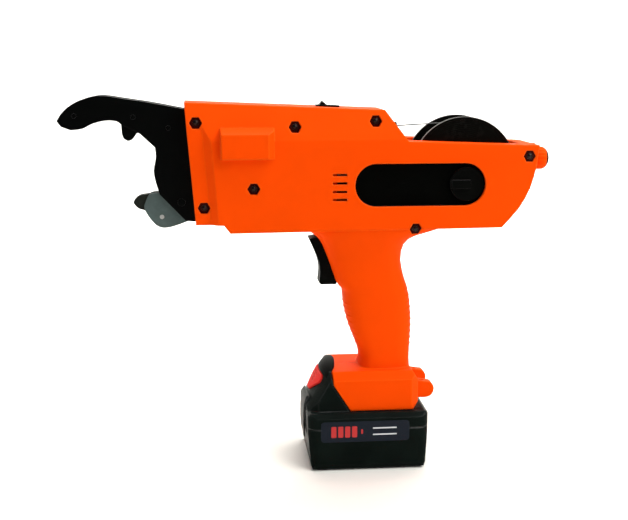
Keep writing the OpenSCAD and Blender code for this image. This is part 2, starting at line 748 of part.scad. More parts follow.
wind_points = coil_path(wind_mid, wind_pitch * wind_turns, wind_turns, wire_d, 24);
echo(least_gap_of_the_winding = min([for (i = [1 : len(wind_points) - 26])
    norm(wind_points[i + 24] - wind_points[i])]) - wire_d);
module wire_winding() {
    color("lightgray")
        translate([spool_x, 0, spool_z])
            rotate([90, 0, 0]) {
                rotate_extrude()
                    polygon([[core_r + 0.1, flange_t - spool_w + 0.1],
                        [wind_r - wire_d - 0.3, flange_t - spool_w + 0.1],
                        [wind_r - wire_d - 0.3, spool_w - flange_t - 0.1], [core_r + 0.1, spool_w - flange_t - 0.1]]);
                translate([0, 0, -wind_pitch * wind_turns / 2])
                    coil(wind_mid, wind_pitch * wind_turns, wind_turns, wire_d, 24);
            }
}
module lock_knob() {
    color("#101010")
        union() {
            ycyl(lock_x, window_z, lock_r, -floor_y - 2.6, -floor_y - 0.2);
            ycyl(lock_x, window_z, 3, -floor_y - 1, -floor_y + 4.9);
            box(lock_x - lock_r + 0.6, lock_x + 2, -floor_y - 4.8, -floor_y - 2, window_z - 2.8, window_z + 2.8);
            box(lock_x - 1.6, lock_x + 1.6, -floor_y + 3.1, -floor_y + 4.9, window_z,
                spool_z - axle_r + 1.1);
        }
}

// Trigger with its pin, spring and switch.
trigger_side = concat(curve([[-37.4, -1.6], [-33.6, -10], [-30.8, -17.5], [-30, -24.3], [-30.7, -31.4]], 3),
    [[-29.4, -32.6], [-19.4, -32.6], [-16.6, -26], [-16.6, -5]], arc([trigger_x, 0], 5.6, -10, 120, 6), [[-31, -0.4]]);
module trigger() {
    color("#181818")
        difference() {
            side(lift(trigger_side, trigger_z), -trigger_w, trigger_w);
            ycyl(trigger_x, trigger_z, trigger_pin_r + run, -20, 20);
        }
}
module trigger_pin() {
    color("silver")
        ycyl(trigger_x, trigger_z, trigger_pin_r - 0.02, -12.9, 12.9);
}
module trigger_spring() {
    color("lightgray")
        translate([-16, 0, trigger_z - 24])
            rotate([0, 90, 0])
                coil(2.6, 8.9, 5, 0.8, 8);
}
module trigger_switch() {
    color("#303030")
        union() {
            box(-6.5, 14, -trigger_w, trigger_w, trigger_z - 28, trigger_z - 6);
            xcyl(0, trigger_z - 12, 2, -13.4, -6);
        }
}
module on_top() {
    translate([rocker_x, 0, rocker_z])
        rotate([0, top_a, 0])
            children();
}
module rocker_body() {
    l = rocker_l / 2;
    w = rocker_w / 2;
    color("#181818")
        on_top()
            difference() {
                union() {
                    box(-l, l, -w, w, 0.05, 1.2);
                    box(-l + 1, l - 1, -w + 1, w - 1, -11 * stretch, 0.5);
                }
                box(-l + 1.8, l - 1.8, -w + 1.8, w - 1.8, -4.5, 5);
                translate([0, 0, -0.5])
                    rotate([90, 0, 0])
                        translate([0, 0, -w + 1])
                            cylinder(r = 0.7, h = 2 * w - 2);
            }
}
module rocker() {
    l = rocker_l / 2 - 2.2;
    w = rocker_w / 2 - 2.1;
    color("#202020")
        on_top()
            translate([0, 0, -0.5])
                union() {
                    rotate([0, 20, 0])
                        side([[-l, -0.2], [-2.2, -2], [2.2, -2], [l, -0.2], [l - 0.7, 2.8], [0.3, 1.4], [-0.3, 1.4],
                            [0.7 - l, 2.8]], -w, w);
                    rotate([90, 0, 0])
                        translate([0, 0, -w - 0.8])
                            cylinder(r = 0.65, h = 2 * w + 1.6);
                }
}
module torque_knob() {
    color("orangered")
        union() {
            translate([collar_x + gap, 0, knob_z])
                rotate([0, 90, 0])
                    intersection() {
                        linear_extrude(knob_l)
                            difference() {
                                circle(r = knob_r);
                                for (a = [0 : 20 : 340])
                                    rotate(a)
                                        translate([knob_r + 0.3, 0])
                                            circle(r = 0.9, $fn = 24);
                            }
                        rotate_extrude()
                            polygon(concat([[0, -1], [knob_r, -1]],
                                arc([knob_r - 2.4, knob_l - 2.4], 2.4, 0, 90, 4), [[0, knob_l]]));
                    }
            xcyl(0, knob_z, 3, collar_x - 5, collar_x + 1);
        }
}
module torque_pot() {
    color("#206040")
        difference() {
            xcyl(0, knob_z, 7.4, collar_x - 6.6, collar_x - 2.6);
            xcyl(0, knob_z, 3 + run, collar_x - 5.2, collar_x);
        }
}
module control_board() {
    color("darkgreen")
        union() {
            box(-85, -46.5, 1.5 - in_w, in_w - 1.5, z0 + 4.6, z0 + 6.2);
            for (y = [-14, -2, 10])
                box(-80, -70, y - 3, y + 3, z0 + 6, z0 + 11);
            for (y = [-12, 12])
                translate([-56, y, z0 + 6])
                    cylinder(r = 5, h = 13);
        }
}

// Foot: lugs for a wrist cord and the terminals.
lug_side = concat([[heel_x - 1.5, 5], [heel_x + 6, 5]], arc([heel_x + 6, 10.8], 5.8, -90, 60, 10),
    [[heel_x + 0.5, 17], [heel_x - 1.5, 17]]);
module lanyard_eyes() {
    color("orangered")
        difference() {
            union() {
                box(heel_x - 3.5, heel_x - 0.1, -17.2, 17.2, zf + 5, zf + 17);
                for (y = [-17.2, 11.2])
                    side(lift(lug_side, zf), y, y + 6);
            }
            for (y = [-14.2, 14.2])
                translate([heel_x + 5.5, y, zf + 10.6])
                    rotate([0, -eye_a, 0])
                        cylinder(r = eye_r, h = 30, center = true);
        }
}
module terminal_block() {
    color("#202020")
        difference() {
            box(heel_x - 9.9, heel_x - 3.7, -15, 15, zf + 3, zf + 14);
            for (y = [-8, 0, 8])
                box(heel_x - 14.5, heel_x - 5.5, y - 0.55, y + 0.55, zf + 4.4, zf + 9.6);
        }
}
module terminal_blades() {
    color("goldenrod")
        for (y = [-8, 0, 8])
            box(heel_x - 21.5, heel_x - 5.6, y - 0.5, y + 0.5, zf + 4.5, zf + 9.5);
}

// Battery pack.
module pack_block(d, h0, h1) {
    x = pack_l / 2;
    draft = 2;
    c = 7;
    intersection() {
        side(inset([[-x + 4 + draft, 0], [x - 4 - draft, 0], [x - 1.2 - draft, 1.2], [x - draft, 4], [x, 30],
            [x, pack_h - 2], [x - 2, pack_h], [2 - x, pack_h], [-x, pack_h - 2], [-x, 30], [draft - x, 4],
            [1.2 + draft - x, 1.2]], d), -50, 50);
        cross(inset([[4 - pack_w, 0], [pack_w - 4, 0], [pack_w - 1.2, 1.2], [pack_w, 4], [pack_w, pack_h - 3],
            [pack_w - 3, pack_h], [3 - pack_w, pack_h], [-pack_w, pack_h - 3], [-pack_w, 4],
            [1.2 - pack_w, 1.2]], d), -60, 60);
        translate([0, 0, h0])
            linear_extrude(h1 - h0)
                polygon(inset(concat(arc([x - c, pack_w - c], c, 0, 90, 6), arc([c - x, pack_w - c], c, 90, 180, 6),
                    arc([c - x, c - pack_w], c, 180, 270, 6), arc([x - c, c - pack_w], c, 270, 360, 6)), d));
    }
}
// Corner bosses for the screws that join tub and cover, between two heights.
pack_corners = [for (x = [5.3 - pack_l / 2, pack_l / 2 - 5.3], y = [6.5 - pack_w, pack_w - 6.5]) [x, y]];
module pack_bosses(h0, h1) {
    intersection() {
        pack_block(0.3, h0, h1);
        for (q = pack_corners)
            translate([q[0], q[1], 0])
                cylinder(r = 2.2, h = pack_h);
    }
}
module pack_tub() {
    color("#181818")
        difference() {
            union() {
                difference() {
                    pack_block(0, 0, seam_h);
                    pack_block(pack_wall, -1, 60);
                }
                pack_bosses(0.5, seam_h);
            }
            for (q = pack_corners)
                translate([q[0], q[1], -1]) {
                    cylinder(r = 1.1, h = 60);
                    cylinder(r = 2.05, h = 3.3);
                }
        }
}
hump_side = concat([[foot_x + 11.3, 0.3], [foot_x + 1.5, 0.3], [hump_x + 0.3, -1]],
    curve([[hump_x + 0.3, 1], [hump_x + 2.1, 7], [hump_x + 5.1, 12.2], [hump_x + 9.1, foot_h - 6.5],
        [hump_x + 10.9, foot_h - 3.3], [foot_x - 0.7, foot_h + 0.3]], 2), [[foot_x + 0.1, foot_h - 7.7]]);
hump_plan = [[foot_x + 13.5, -foot_w], [foot_x + 13.5, foot_w], [hump_x + 7.5, foot_w], [hump_x - 1.5, foot_w - 7],
    [hump_x - 1.5, 7 - foot_w], [hump_x + 7.5, -foot_w]];
module on_slope() {
    translate([slope_x, 0, slope_z])
        rotate([0, -slope_a, 0])
            children();
}
// The slope is crowned across the pack; the release key is a shield that follows the crown.
crown_r = 80;
key_w = foot_w - 11.5;
key_plan = [[15.2, 2.5 - key_w], [15.2, key_w - 2.5], [13, key_w], [10.5, key_w], [1.6, 5], [0.8, 3.5],
    [0.8, -3.5], [1.6, -5], [10.5, -key_w], [13, -key_w]];
module crown(n) {
    on_slope()
        translate([0, 0, n - crown_r])
            rotate([0, 90, 0])
                cylinder(r = crown_r, h = 160, center = true, $fn = 96);
}
module key_form(grow, n0, n1) {
    on_slope()
        translate([0, 0, n0])
            linear_extrude(n1 - n0)
                polygon(inset(key_plan, -grow));
}
module pack_cover() {
    color("#202020")
        difference() {
            union() {
                difference() {
                    pack_block(0, seam_h + 0.1, 60);
                    pack_block(pack_wall, -1, 60);
                }
                intersection() {
                    side(lift(flip(hump_side), pack_h), -foot_w, foot_w);
                    translate([0, 0, pack_h - 4])
                        linear_extrude(40)
                            polygon(hump_plan);
                    crown(0);
                }
                pack_bosses(seam_h + 0.1, pack_h - 0.5);
                box(foot_x + 1.5, heel_x - 10.5, 3.4 - rail_w, rail_w - 3.4, pack_h - 0.5, zf + 6);
                box(foot_x + 1.5, heel_x - 10.5, -rail_w, rail_w, zf + 4.4, zf + 10);
                translate([-pack_l / 2, 0, 0])
                    side([[-0.9, 18], [-0.1, 16.6], [-0.3, seam_h + 0.4], [1, seam_h + 0.5], [2.4, pack_h + 6],
                        [1.6, pack_h + 7.4], [0.3, pack_h + 5.6], [-0.9, pack_h + 1], [-1.4, pack_h - 6],
                        [-1.4, seam_h - 3]], -12, 12);
            }
            for (q = pack_corners)
                translate([q[0], q[1], 20])
                    cylinder(r = 1.05, h = pack_h - 23.4);
            for (y = [-8, 0, 8])
                box(heel_x - 22.5, heel_x - 4.5, y - 0.85, y + 0.85, zf + 3.9, zf + 11);
            key_form(0.3, -2.6 - press - 0.4, 10);
        }
}
module pack_cells() {
    color("steelblue")
        for (q = [[-cell_p, 0], [0, 9], [cell_p, 0]])
            xcyl(q[0], pack_wall + 0.1 + cell_r + q[1], cell_r, -cell_l / 2, cell_l / 2);
}
module pack_board() {
    color("darkgreen")
        box(2.5 - cell_l / 2, cell_l / 2 - 2.5, -cell_p - 5, cell_p + 5, pack_wall + 9.3 + 2 * cell_r,
            pack_wall + 10.7 + 2 * cell_r);
}
module pack_contacts() {
    color("goldenrod")
        for (x = [-1, 1])
            box(x * (cell_l / 2 + 0.5) - 0.3, x * (cell_l / 2 + 0.5) + 0.3, -cell_p - 3, cell_p + 3,
                pack_wall + 5.7, pack_wall + 8 + 2 * cell_r);
}
module pack_screws() {
    color("dimgray")
        for (q = pack_corners)
            translate([q[0], q[1], 1.2])
                difference() {
                    union() {
                        cylinder(r = 1.9, h = 1.1);
                        cylinder(r = 1, h = pack_h - 5.4);
                    }
                    translate([0, 0, -1])
                        cylinder(r = 0.9, h = 1.7, $fn = 6);
                }
}
module release_button() {
    color("crimson")
        difference() {
            intersection() {
                key_form(0, -2.6, 5);
                crown(1.2);
            }
            on_slope() {
                for (u = [7.5, 10, 12.5])
                    box(u - 0.5, u + 0.5, -6, 6, 0.5, 5);
                for (y = [-key_w + 6, key_w - 6])
                    translate([11, y, -5])
                        cylinder(r = 2.6, h = 3.8);
            }
        }
}
module release_springs() {
    color("lightgray")
        on_slope()
            for (y = [-key_w + 6, key_w - 6])
                translate([11, y, -2.65 - press])
                    coil(1.8, press + 0.8, 3, 0.6, 8);
}

left_housing();
right_housing();
left_panel();
right_panel();
housing_bolts();
housing_nuts();
left_head_plate();
right_head_plate();
curl_guide();
head_spacers();
cutter_die();
guide_tube();
inlet_bush();
tie_wire();
jaw_pin();
jaw_plates();
jaw_guide();
jaw_rivets();
jaw_spring();
shaft_bearing();
twist_shaft();
twist_hooks();
gearbox();
twist_motor();
feed_shaft();
feed_wheel();
feed_gear();
idler_pin();
idler_wheel();
feed_motor();
feed_pinion();
spool_axle();
spool();
wire_winding();
lock_knob();
trigger();
trigger_pin();
trigger_spring();
trigger_switch();
rocker_body();
rocker();
torque_knob();
torque_pot();
control_board();
lanyard_eyes();
terminal_block();
terminal_blades();
pack_tub();
pack_cover();
pack_cells();
pack_board();
pack_contacts();
pack_screws();
release_button();
release_springs();
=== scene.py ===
"""Looks of a rebar tying tool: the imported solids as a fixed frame, dressed with finishes and surface detail."""

import json
import math

import bmesh
import bpy
import numpy as np
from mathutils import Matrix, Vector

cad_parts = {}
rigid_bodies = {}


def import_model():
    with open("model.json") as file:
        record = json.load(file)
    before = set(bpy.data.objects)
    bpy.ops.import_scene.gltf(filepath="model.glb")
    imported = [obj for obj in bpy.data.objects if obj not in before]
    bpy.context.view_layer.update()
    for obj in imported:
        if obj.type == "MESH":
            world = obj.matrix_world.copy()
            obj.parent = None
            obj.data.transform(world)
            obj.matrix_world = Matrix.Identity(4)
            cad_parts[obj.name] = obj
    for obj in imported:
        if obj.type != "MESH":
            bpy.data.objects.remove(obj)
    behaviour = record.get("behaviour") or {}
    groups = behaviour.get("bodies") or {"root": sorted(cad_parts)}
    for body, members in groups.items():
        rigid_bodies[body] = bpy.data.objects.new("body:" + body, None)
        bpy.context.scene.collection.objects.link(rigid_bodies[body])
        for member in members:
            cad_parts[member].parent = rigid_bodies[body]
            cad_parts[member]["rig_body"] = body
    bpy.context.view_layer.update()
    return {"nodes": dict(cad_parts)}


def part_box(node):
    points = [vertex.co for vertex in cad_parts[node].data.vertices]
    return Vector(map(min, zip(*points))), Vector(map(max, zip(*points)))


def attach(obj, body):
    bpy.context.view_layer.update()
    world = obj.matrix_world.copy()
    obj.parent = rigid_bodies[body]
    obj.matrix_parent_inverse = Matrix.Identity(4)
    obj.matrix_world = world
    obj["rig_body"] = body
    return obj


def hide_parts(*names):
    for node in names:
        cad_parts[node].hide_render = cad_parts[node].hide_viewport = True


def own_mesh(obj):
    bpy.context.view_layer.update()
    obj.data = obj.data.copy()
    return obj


bl_info = {
    "name": "Rebar tying tool",
    "version": (1, 0, 0),
    "blender": (4, 5, 0),
    "location": "3D View > Sidebar > Tying tool",
    "description": "Dresses the packed tying tool with its finishes, grip ribs, wound wire and charge label",
    "category": "Object",
}

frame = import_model()
MM = 0.001


def centre_of(node):
    """Middle of a node's box at rest."""
    low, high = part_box(node)
    return (np.array(low) + np.array(high)) / 2


class ShellSettings(bpy.types.PropertyGroup):
    """Moulded housing and grip."""

    colour: bpy.props.FloatVectorProperty(
        name="Shell colour",
        description="Colour of the moulded housing",
        subtype="COLOR",
        default=(0.9, 0.066, 0.0008),
        min=0,
        max=1,
    )
    edge: bpy.props.FloatProperty(
        name="Edge radius",
        description="Rounding of the housing's edges as the light shows it",
        unit="LENGTH",
        default=1.7 * MM,
        min=0.1 * MM,
        max=3 * MM,
    )
    rib_pitch: bpy.props.FloatProperty(
        name="Rib pitch",
        description="Distance between the ribs on the grip",
        unit="LENGTH",
        default=4.2 * MM,
        min=2 * MM,
        max=8 * MM,
    )
    rib_height: bpy.props.FloatProperty(
        name="Rib height",
        description="How far a rib stands out of the grip",
        unit="LENGTH",
        default=0.3 * MM,
        min=0.1 * MM,
        max=1.2 * MM,
    )


class MetalSettings(bpy.types.PropertyGroup):
    """Steel pieces and the wire."""

    head_colour: bpy.props.FloatVectorProperty(
        name="Head colour",
        description="Colour of the blackened head plates",
        subtype="COLOR",
        default=(0.001, 0.0012, 0.0012),
        min=0,
        max=1,
    )
    jaw_colour: bpy.props.FloatVectorProperty(
        name="Jaw colour",
        description="Colour of the lower jaw's side plates",
        subtype="COLOR",
        default=(0.08, 0.112, 0.11),
        min=0,
        max=1,
    )
    wire_turns: bpy.props.IntProperty(
        name="Wire turns",
        description="Turns of wire in the winding's outer layer",
        default=16,
        min=6,
        max=24,
    )


class PackSettings(bpy.types.PropertyGroup):
    """Battery pack."""

    colour: bpy.props.FloatVectorProperty(
        name="Pack colour",
        description="Colour of the battery pack's case",
        subtype="COLOR",
        default=(0.0033, 0.0055, 0.0046),
        min=0,
        max=1,
    )
    label_colour: bpy.props.FloatVectorProperty(
        name="Label colour",
        description="Colour of the plain label on the pack",
        subtype="COLOR",
        default=(0.0043, 0.008, 0.0155),
        min=0,
        max=1,
    )
    button_colour: bpy.props.FloatVectorProperty(
        name="Button colour",
        description="Colour of the release button",
        subtype="COLOR",
        default=(0.74, 0.032, 0.026),
        min=0,
        max=1,
    )


class StageSettings(bpy.types.PropertyGroup):
    """Floor, light and camera."""

    floor_colour: bpy.props.FloatVectorProperty(
        name="Floor colour",
        description="Colour of the studio floor",
        subtype="COLOR",
        default=(0.8, 0.793, 0.742),
        min=0,
        max=1,
    )
    key_power: bpy.props.FloatProperty(
        name="Key light",
        description="Power of the main soft light",
        unit="POWER",
        default=18.5,
        min=0,
        max=200,
    )
    lens: bpy.props.FloatProperty(
        name="Lens",
        description="Focal length in millimetres on a 36 mm wide sensor",
        default=62.6,
        min=20,
        max=200,
    )


class Mask:
    """A shader value that takes part in Python arithmetic: each operator adds one Math node."""

    def __init__(self, finish, socket):
        self.finish = finish
        self.socket = socket

    def math(self, operation, *values):
        return self.finish.node("Math", {"operation": operation}, dict(enumerate(values)))

    def __add__(self, other):
        return self.math("ADD", self, other)

    def __radd__(self, other):
        return self.math("ADD", other, self)

    def __sub__(self, other):
        return self.math("SUBTRACT", self, other)

    def __rsub__(self, other):
        return self.math("SUBTRACT", other, self)

    def __mul__(self, other):
        return self.math("MULTIPLY", self, other)

    def __rmul__(self, other):
        return self.math("MULTIPLY", other, self)

    def __abs__(self):
        return self.math("ABSOLUTE", self)

    def root(self):
        return self.math("SQRT", self)

    def sine(self):
        return self.math("SINE", self)

    def rise(self, low, high):
        """0 below low, 1 above high, and a smooth step between them."""
        return self.finish.node(
            "MapRange",
            {"interpolation_type": "SMOOTHSTEP"},
            {"Value": self, "From Min": low, "From Max": high},
        )


# Gloss and roughness where a finish is polished.
POLISH_GLOSS = 0.8
POLISH_ROUGH = 0.27


class Finish:
    """One material under construction, with the patterns that several finishes share."""

    def __init__(self, name):
        self.material = bpy.data.materials.new(name)
        self.material.use_nodes = True
        self.tree = self.material.node_tree
        self.tree.nodes.clear()
        self.place = self.node("TexCoord", out="Object")

    def node(self, kind, settings=None, sockets=None, out=0):
        """A node of that kind: its settings first, then the values or links of its sockets."""
        made = self.tree.nodes.new("ShaderNode" + kind)
        for key, value in (settings or {}).items():
            setattr(made, key, value)
        for key, value in (sockets or {}).items():
            if isinstance(value, Mask):
                self.tree.links.new(value.socket, made.inputs[key])
            else:
                made.inputs[key].default_value = value
        return Mask(self, made.outputs[out]) if made.outputs else None

    def axis(self, name):
        """One coordinate of the place on the tool, in metres."""
        return self.node("SeparateXYZ", None, {"Vector": self.place}, out=name)

    def stretch(self, sx, sy, sz):
        """The place on the tool with each axis scaled, for patterns that run one way."""
        return self.node("Mapping", None, {"Vector": self.place, "Scale": (sx, sy, sz)})

    def grain(self, size, detail=2.0, place=None):
        """Even noise whose lumps are about size metres wide."""
        return self.node(
            "TexNoise",
            None,
            {"Vector": place or self.place, "Scale": 1 / size, "Detail": detail, "Roughness": 0.55},
        )

    def cells(self, size):
        """Rounded cells of about size metres, as spark-eroded moulds leave them."""
        return self.node("TexVoronoi", None, {"Vector": self.place, "Scale": 1 / size}, out="Distance")

    def blend(self, share, first, second):
        """Colour that goes from first to second as share goes from 0 to 1."""
        return self.node("Mix", {"data_type": "RGBA"}, {0: share, 6: first, 7: second}, out=2)

    def rounded(self, radius):
        """Normal with its edges rounded to that radius."""
        return self.node("Bevel", {"samples": 6}, {"Radius": radius})

    def rubbed(self, normal):
        """1 on edges and 0 on open faces, from how far the rounded normal leans from the face's own."""
        own = self.node("NewGeometry", out="Normal")
        straight = self.node("VectorMath", {"operation": "DOT_PRODUCT"}, {0: normal, 1: own}, out="Value")
        return (1 - straight).rise(0.01, 0.16)

    def bump(self, height, depth, normal=None):
        """Normal bent by a height from 0 to 1 over a depth in metres."""
        sockets = {"Height": height, "Distance": depth, "Strength": 1.0}
        if normal is not None:
            sockets["Normal"] = normal
        return self.node("Bump", None, sockets)

    def shader(self, sockets):
        """A principled shader. Names use _ for the spaces in socket names."""
        return self.node("BsdfPrincipled", None, {k.replace("_", " "): v for k, v in sockets.items()})

    def done(self, polish=None, **sockets):
        """Joins the shader and gives the material. Where polish goes to 1 the same colour shines more, as on edges
        that a mould or a hand leaves smooth."""
        made = self.shader(sockets)
        if polish is not None:
            smooth = self.shader({**sockets, "Specular_IOR_Level": POLISH_GLOSS, "Roughness": POLISH_ROUGH})
            made = self.node("MixShader", None, {0: polish, 1: made, 2: smooth})
        self.node("OutputMaterial", None, {"Surface": made})
        return self.material


def rgb(colour, gain=1.0):
    """A colour with full alpha, brightened or darkened."""
    return (*[min(1.0, c * gain) for c in colour], 1.0)


# Black mouldings, and the black second shot on an orange one.
BLACK = (0.0014, 0.0016, 0.0014)
BLACK_SHOT = (0.0016, 0.0018, 0.0016)


def moulded_shell(name, colour, edge, black_from=1.0):
    """Dull moulded plastic: fine mould grain, faint flow clouds, a parting line on the middle plane and edges painted
    paler, partly as rubbing and partly as a painted highlight where the rounded rims catch the light. Behind
    black_from, in metres along X, the second shot of the moulding is black."""
    f = Finish(name)
    round_edges = f.rounded(edge)
    edge_wear_and_sheen = f.rubbed(round_edges)
    clouds = f.grain(0.03, 3)
    grain = f.cells(0.00045) * 0.6 + f.grain(0.0002) * 0.4
    seam = 1 - abs(f.axis("Y")).rise(0.00006, 0.00022)
    scuffs = f.grain(0.004, 4, f.stretch(0.25, 1, 1.6)).rise(0.62, 0.74)
    tone = f.blend(clouds.rise(0.3, 0.75) * 0.5, rgb(colour), rgb(colour, 0.9))
    red, green, blue = colour
    # Painted highlight: the edges are painted paler as if their rounded rims caught the light, with some rubbing too.
    tone = f.blend(edge_wear_and_sheen * 0.5, tone, rgb((red * 1.05, green * 2 + 0.008, blue * 2 + 0.004)))
    tone = f.blend(seam * 0.75, tone, rgb(colour, 0.35))
    tone = f.blend(f.axis("X").rise(black_from, black_from + 0.00005), tone, rgb(BLACK_SHOT))
    rough = 0.56 + grain * 0.1 + scuffs * 0.1 - edge_wear_and_sheen * 0.1
    skin = f.bump(grain - seam * 6, 0.00002, round_edges)
    return f.done(
        polish=edge_wear_and_sheen * 0.12,
        Base_Color=tone,
        Roughness=rough,
        Normal=skin,
        Specular_IOR_Level=0.03,
        Specular_Tint=(1, 0.8, 0.45, 1),
    )


def moulded_black(name, colour, edge, rough=0.38, grain_size=0.0006, gloss=0.03, polish=0.4):
    """Black moulded plastic with a fine leather-like grain, faint light scuffs and polished edges."""
    f = Finish(name)
    round_edges = f.rounded(edge)
    edge_wear_and_sheen = f.rubbed(round_edges)
    grain = f.cells(grain_size) * 0.5 + f.grain(grain_size * 0.5) * 0.5
    clouds = f.grain(0.02, 3)
    scuffs = f.grain(0.003, 5, f.stretch(0.2, 1, 1.8)).rise(0.63, 0.76)
    tone = f.blend(clouds.rise(0.35, 0.75), rgb(colour), rgb(colour, 1.5))
    tone = f.blend(scuffs * 0.25, tone, rgb([c + 0.004 for c in colour]))
    matt = rough + grain * 0.14 + scuffs * 0.1 - edge_wear_and_sheen * 0.1
    skin = f.bump(grain, 0.00003, round_edges)
    return f.done(polish=edge_wear_and_sheen * polish, Base_Color=tone, Roughness=matt, Normal=skin, Specular_IOR_Level=gloss)


def blackened_steel(name, colour, edge):
    """Hot-blackened plate with a thin gloss of oil: long faint drag marks, grey rubbed edges and small knocks."""
    f = Finish(name)
    round_edges = f.rounded(edge)
    edge_wear_and_sheen = f.rubbed(round_edges)
    drag = f.grain(0.0016, 4, f.stretch(0.15, 1, 1.4))
    knocks = f.grain(0.0022, 3).rise(0.68, 0.76)
    bare = edge_wear_and_sheen * f.grain(0.003, 4).rise(0.42, 0.66) + knocks * 0.16
    tone = f.blend(bare * 0.35, rgb(colour), (0.02, 0.0215, 0.022, 1))
    rough = 0.24 + drag * 0.16 + knocks * 0.15
    skin = f.bump(drag * 0.7 + knocks * 0.3, 0.00002, round_edges)
    return f.done(
        polish=edge_wear_and_sheen * 0.16,
        Base_Color=tone,
        Roughness=rough,
        Metallic=bare * 0.5,
        Normal=skin,
        Specular_IOR_Level=0.035,
    )


def plated_steel(name, colour, rough, edge, run=(1, 1, 12), metal=1.0):
    """Plated steel: brush lines along one way, soft blotches and brighter rubbed edges."""
    f = Finish(name)
    round_edges = f.rounded(edge)
    edge_wear_and_sheen = f.rubbed(round_edges)
    lines = f.grain(0.0011, 4, f.stretch(*run))
    blotch = f.grain(0.006, 3).rise(0.35, 0.7)
    tone = f.blend(blotch * 0.6 + lines * 0.3, rgb(colour, 0.82), rgb(colour, 1.12))
    tone = f.blend(edge_wear_and_sheen * 0.6, tone, rgb([c * 1.2 + 0.08 for c in colour]))
    matt = rough + lines * 0.16 - edge_wear_and_sheen * 0.08 + blotch * 0.06
    skin = f.bump(lines, 0.000012, round_edges)
    return f.done(Base_Color=tone, Roughness=matt, Metallic=metal, Normal=skin, Specular_IOR_Level=0.3)


def drawn_wire(name, gain=1.0):
    """Drawn steel wire with fine draw marks and dull patches of its dry lubricant. A gain below 1 is oiled wire."""
    f = Finish(name)
    marks = f.grain(0.0003, 3)
    dull = f.grain(0.004, 3).rise(0.4, 0.68)
    tone = f.blend(dull, rgb((0.2, 0.2, 0.195), gain), rgb((0.085, 0.084, 0.08), gain))
    rough = 0.22 + marks * 0.14 + dull * 0.2
    return f.done(Base_Color=tone, Roughness=rough, Metallic=1.0, Normal=f.bump(marks, 0.00001))


# Turned rings on the spool's cheek, in radians of wave for a metre outwards.
RINGS_PER_METRE = 5200


def spool_plastic(name, colour, spool):
    """Glossy black spool: turned rings round its axle and a painted highlight, a bright line painted on the rim. The
    spool is given by the middle of its axle and its radius."""
    f = Finish(name)
    x, _, z, radius = spool
    across = f.axis("X") - x
    upward = f.axis("Z") - z
    reach = (across * across + upward * upward).root()
    rings = (reach * RINGS_PER_METRE).sine() * 0.5 + 0.5
    # Painted highlight: a bright line along the rim, where the flange's rounded edge catches the light.
    rim = reach.rise(radius - 0.0006, radius - 0.0002)
    dust = f.grain(0.005, 4).rise(0.5, 0.75)
    tone = f.blend(rim * 0.8, rgb(colour), (0.11, 0.11, 0.105, 1))
    tone = f.blend(dust * 0.15, tone, (0.012, 0.012, 0.011, 1))
    rough = 0.22 + rings * 0.06 + dust * 0.16
    skin = f.bump(rings, 0.00001, f.rounded(0.0004))
    return f.done(Base_Color=tone, Roughness=rough, Normal=skin, Specular_IOR_Level=0.05)


def circuit_board(name):
    """Green board: etched tracks under a glossy mask and a fine glass weave."""
    f = Finish(name)
    tracks = f.node("TexBrick", {"offset": 0.35}, {"Vector": f.place, "Scale": 260.0, "Mortar Size": 0.03}, out="Fac")
    weave = f.grain(0.0005, 2)
    tone = f.blend(tracks, (0.008, 0.1, 0.03, 1), (0.03, 0.2, 0.06, 1))
    return f.done(Base_Color=tone, Roughness=0.3 + weave * 0.15, Normal=f.bump(tracks, 0.00003))


def shrink_wrap(name):
    """Thin coloured film shrunk over the cells, with faint wrinkles."""
    f = Finish(name)
    wrinkles = f.grain(0.004, 4, f.stretch(0.3, 1, 1))
    tone = f.blend(wrinkles.rise(0.4, 0.7), (0.02, 0.09, 0.24, 1), (0.03, 0.13, 0.32, 1))
    return f.done(Base_Color=tone, Roughness=0.28 + wrinkles * 0.1, Normal=f.bump(wrinkles, 0.0001))


def printed_film(name, colour):
    """Printed film: fine orange-peel under a clear lacquer and a few hairline scratches."""
    f = Finish(name)
    peel = f.grain(0.0012, 2)
    hair = f.grain(0.0008, 3, f.stretch(0.1, 1, 3)).rise(0.68, 0.74)
    tone = f.blend(hair * 0.3 + peel * 0.2, rgb(colour), rgb([c * 1.2 + 0.01 for c in colour]))
    matt = 0.34 + peel * 0.1 + hair * 0.15
    return f.done(Base_Color=tone, Roughness=matt, Normal=f.bump(peel, 0.00001), Specular_IOR_Level=0.12)


def studio_floor(name, colour):
    """Matt paper: a pale tone with the faintest mottling."""
    f = Finish(name)
    fibre = f.grain(0.002, 4)
    tone = f.blend(fibre * 0.3, rgb(colour), rgb(colour, 0.985))
    return f.done(Base_Color=tone, Roughness=0.9, Specular_IOR_Level=0.1)


finishes = {}
# How much of the dial's outer end is black, in metres.
DIAL_CAP = 0.0027


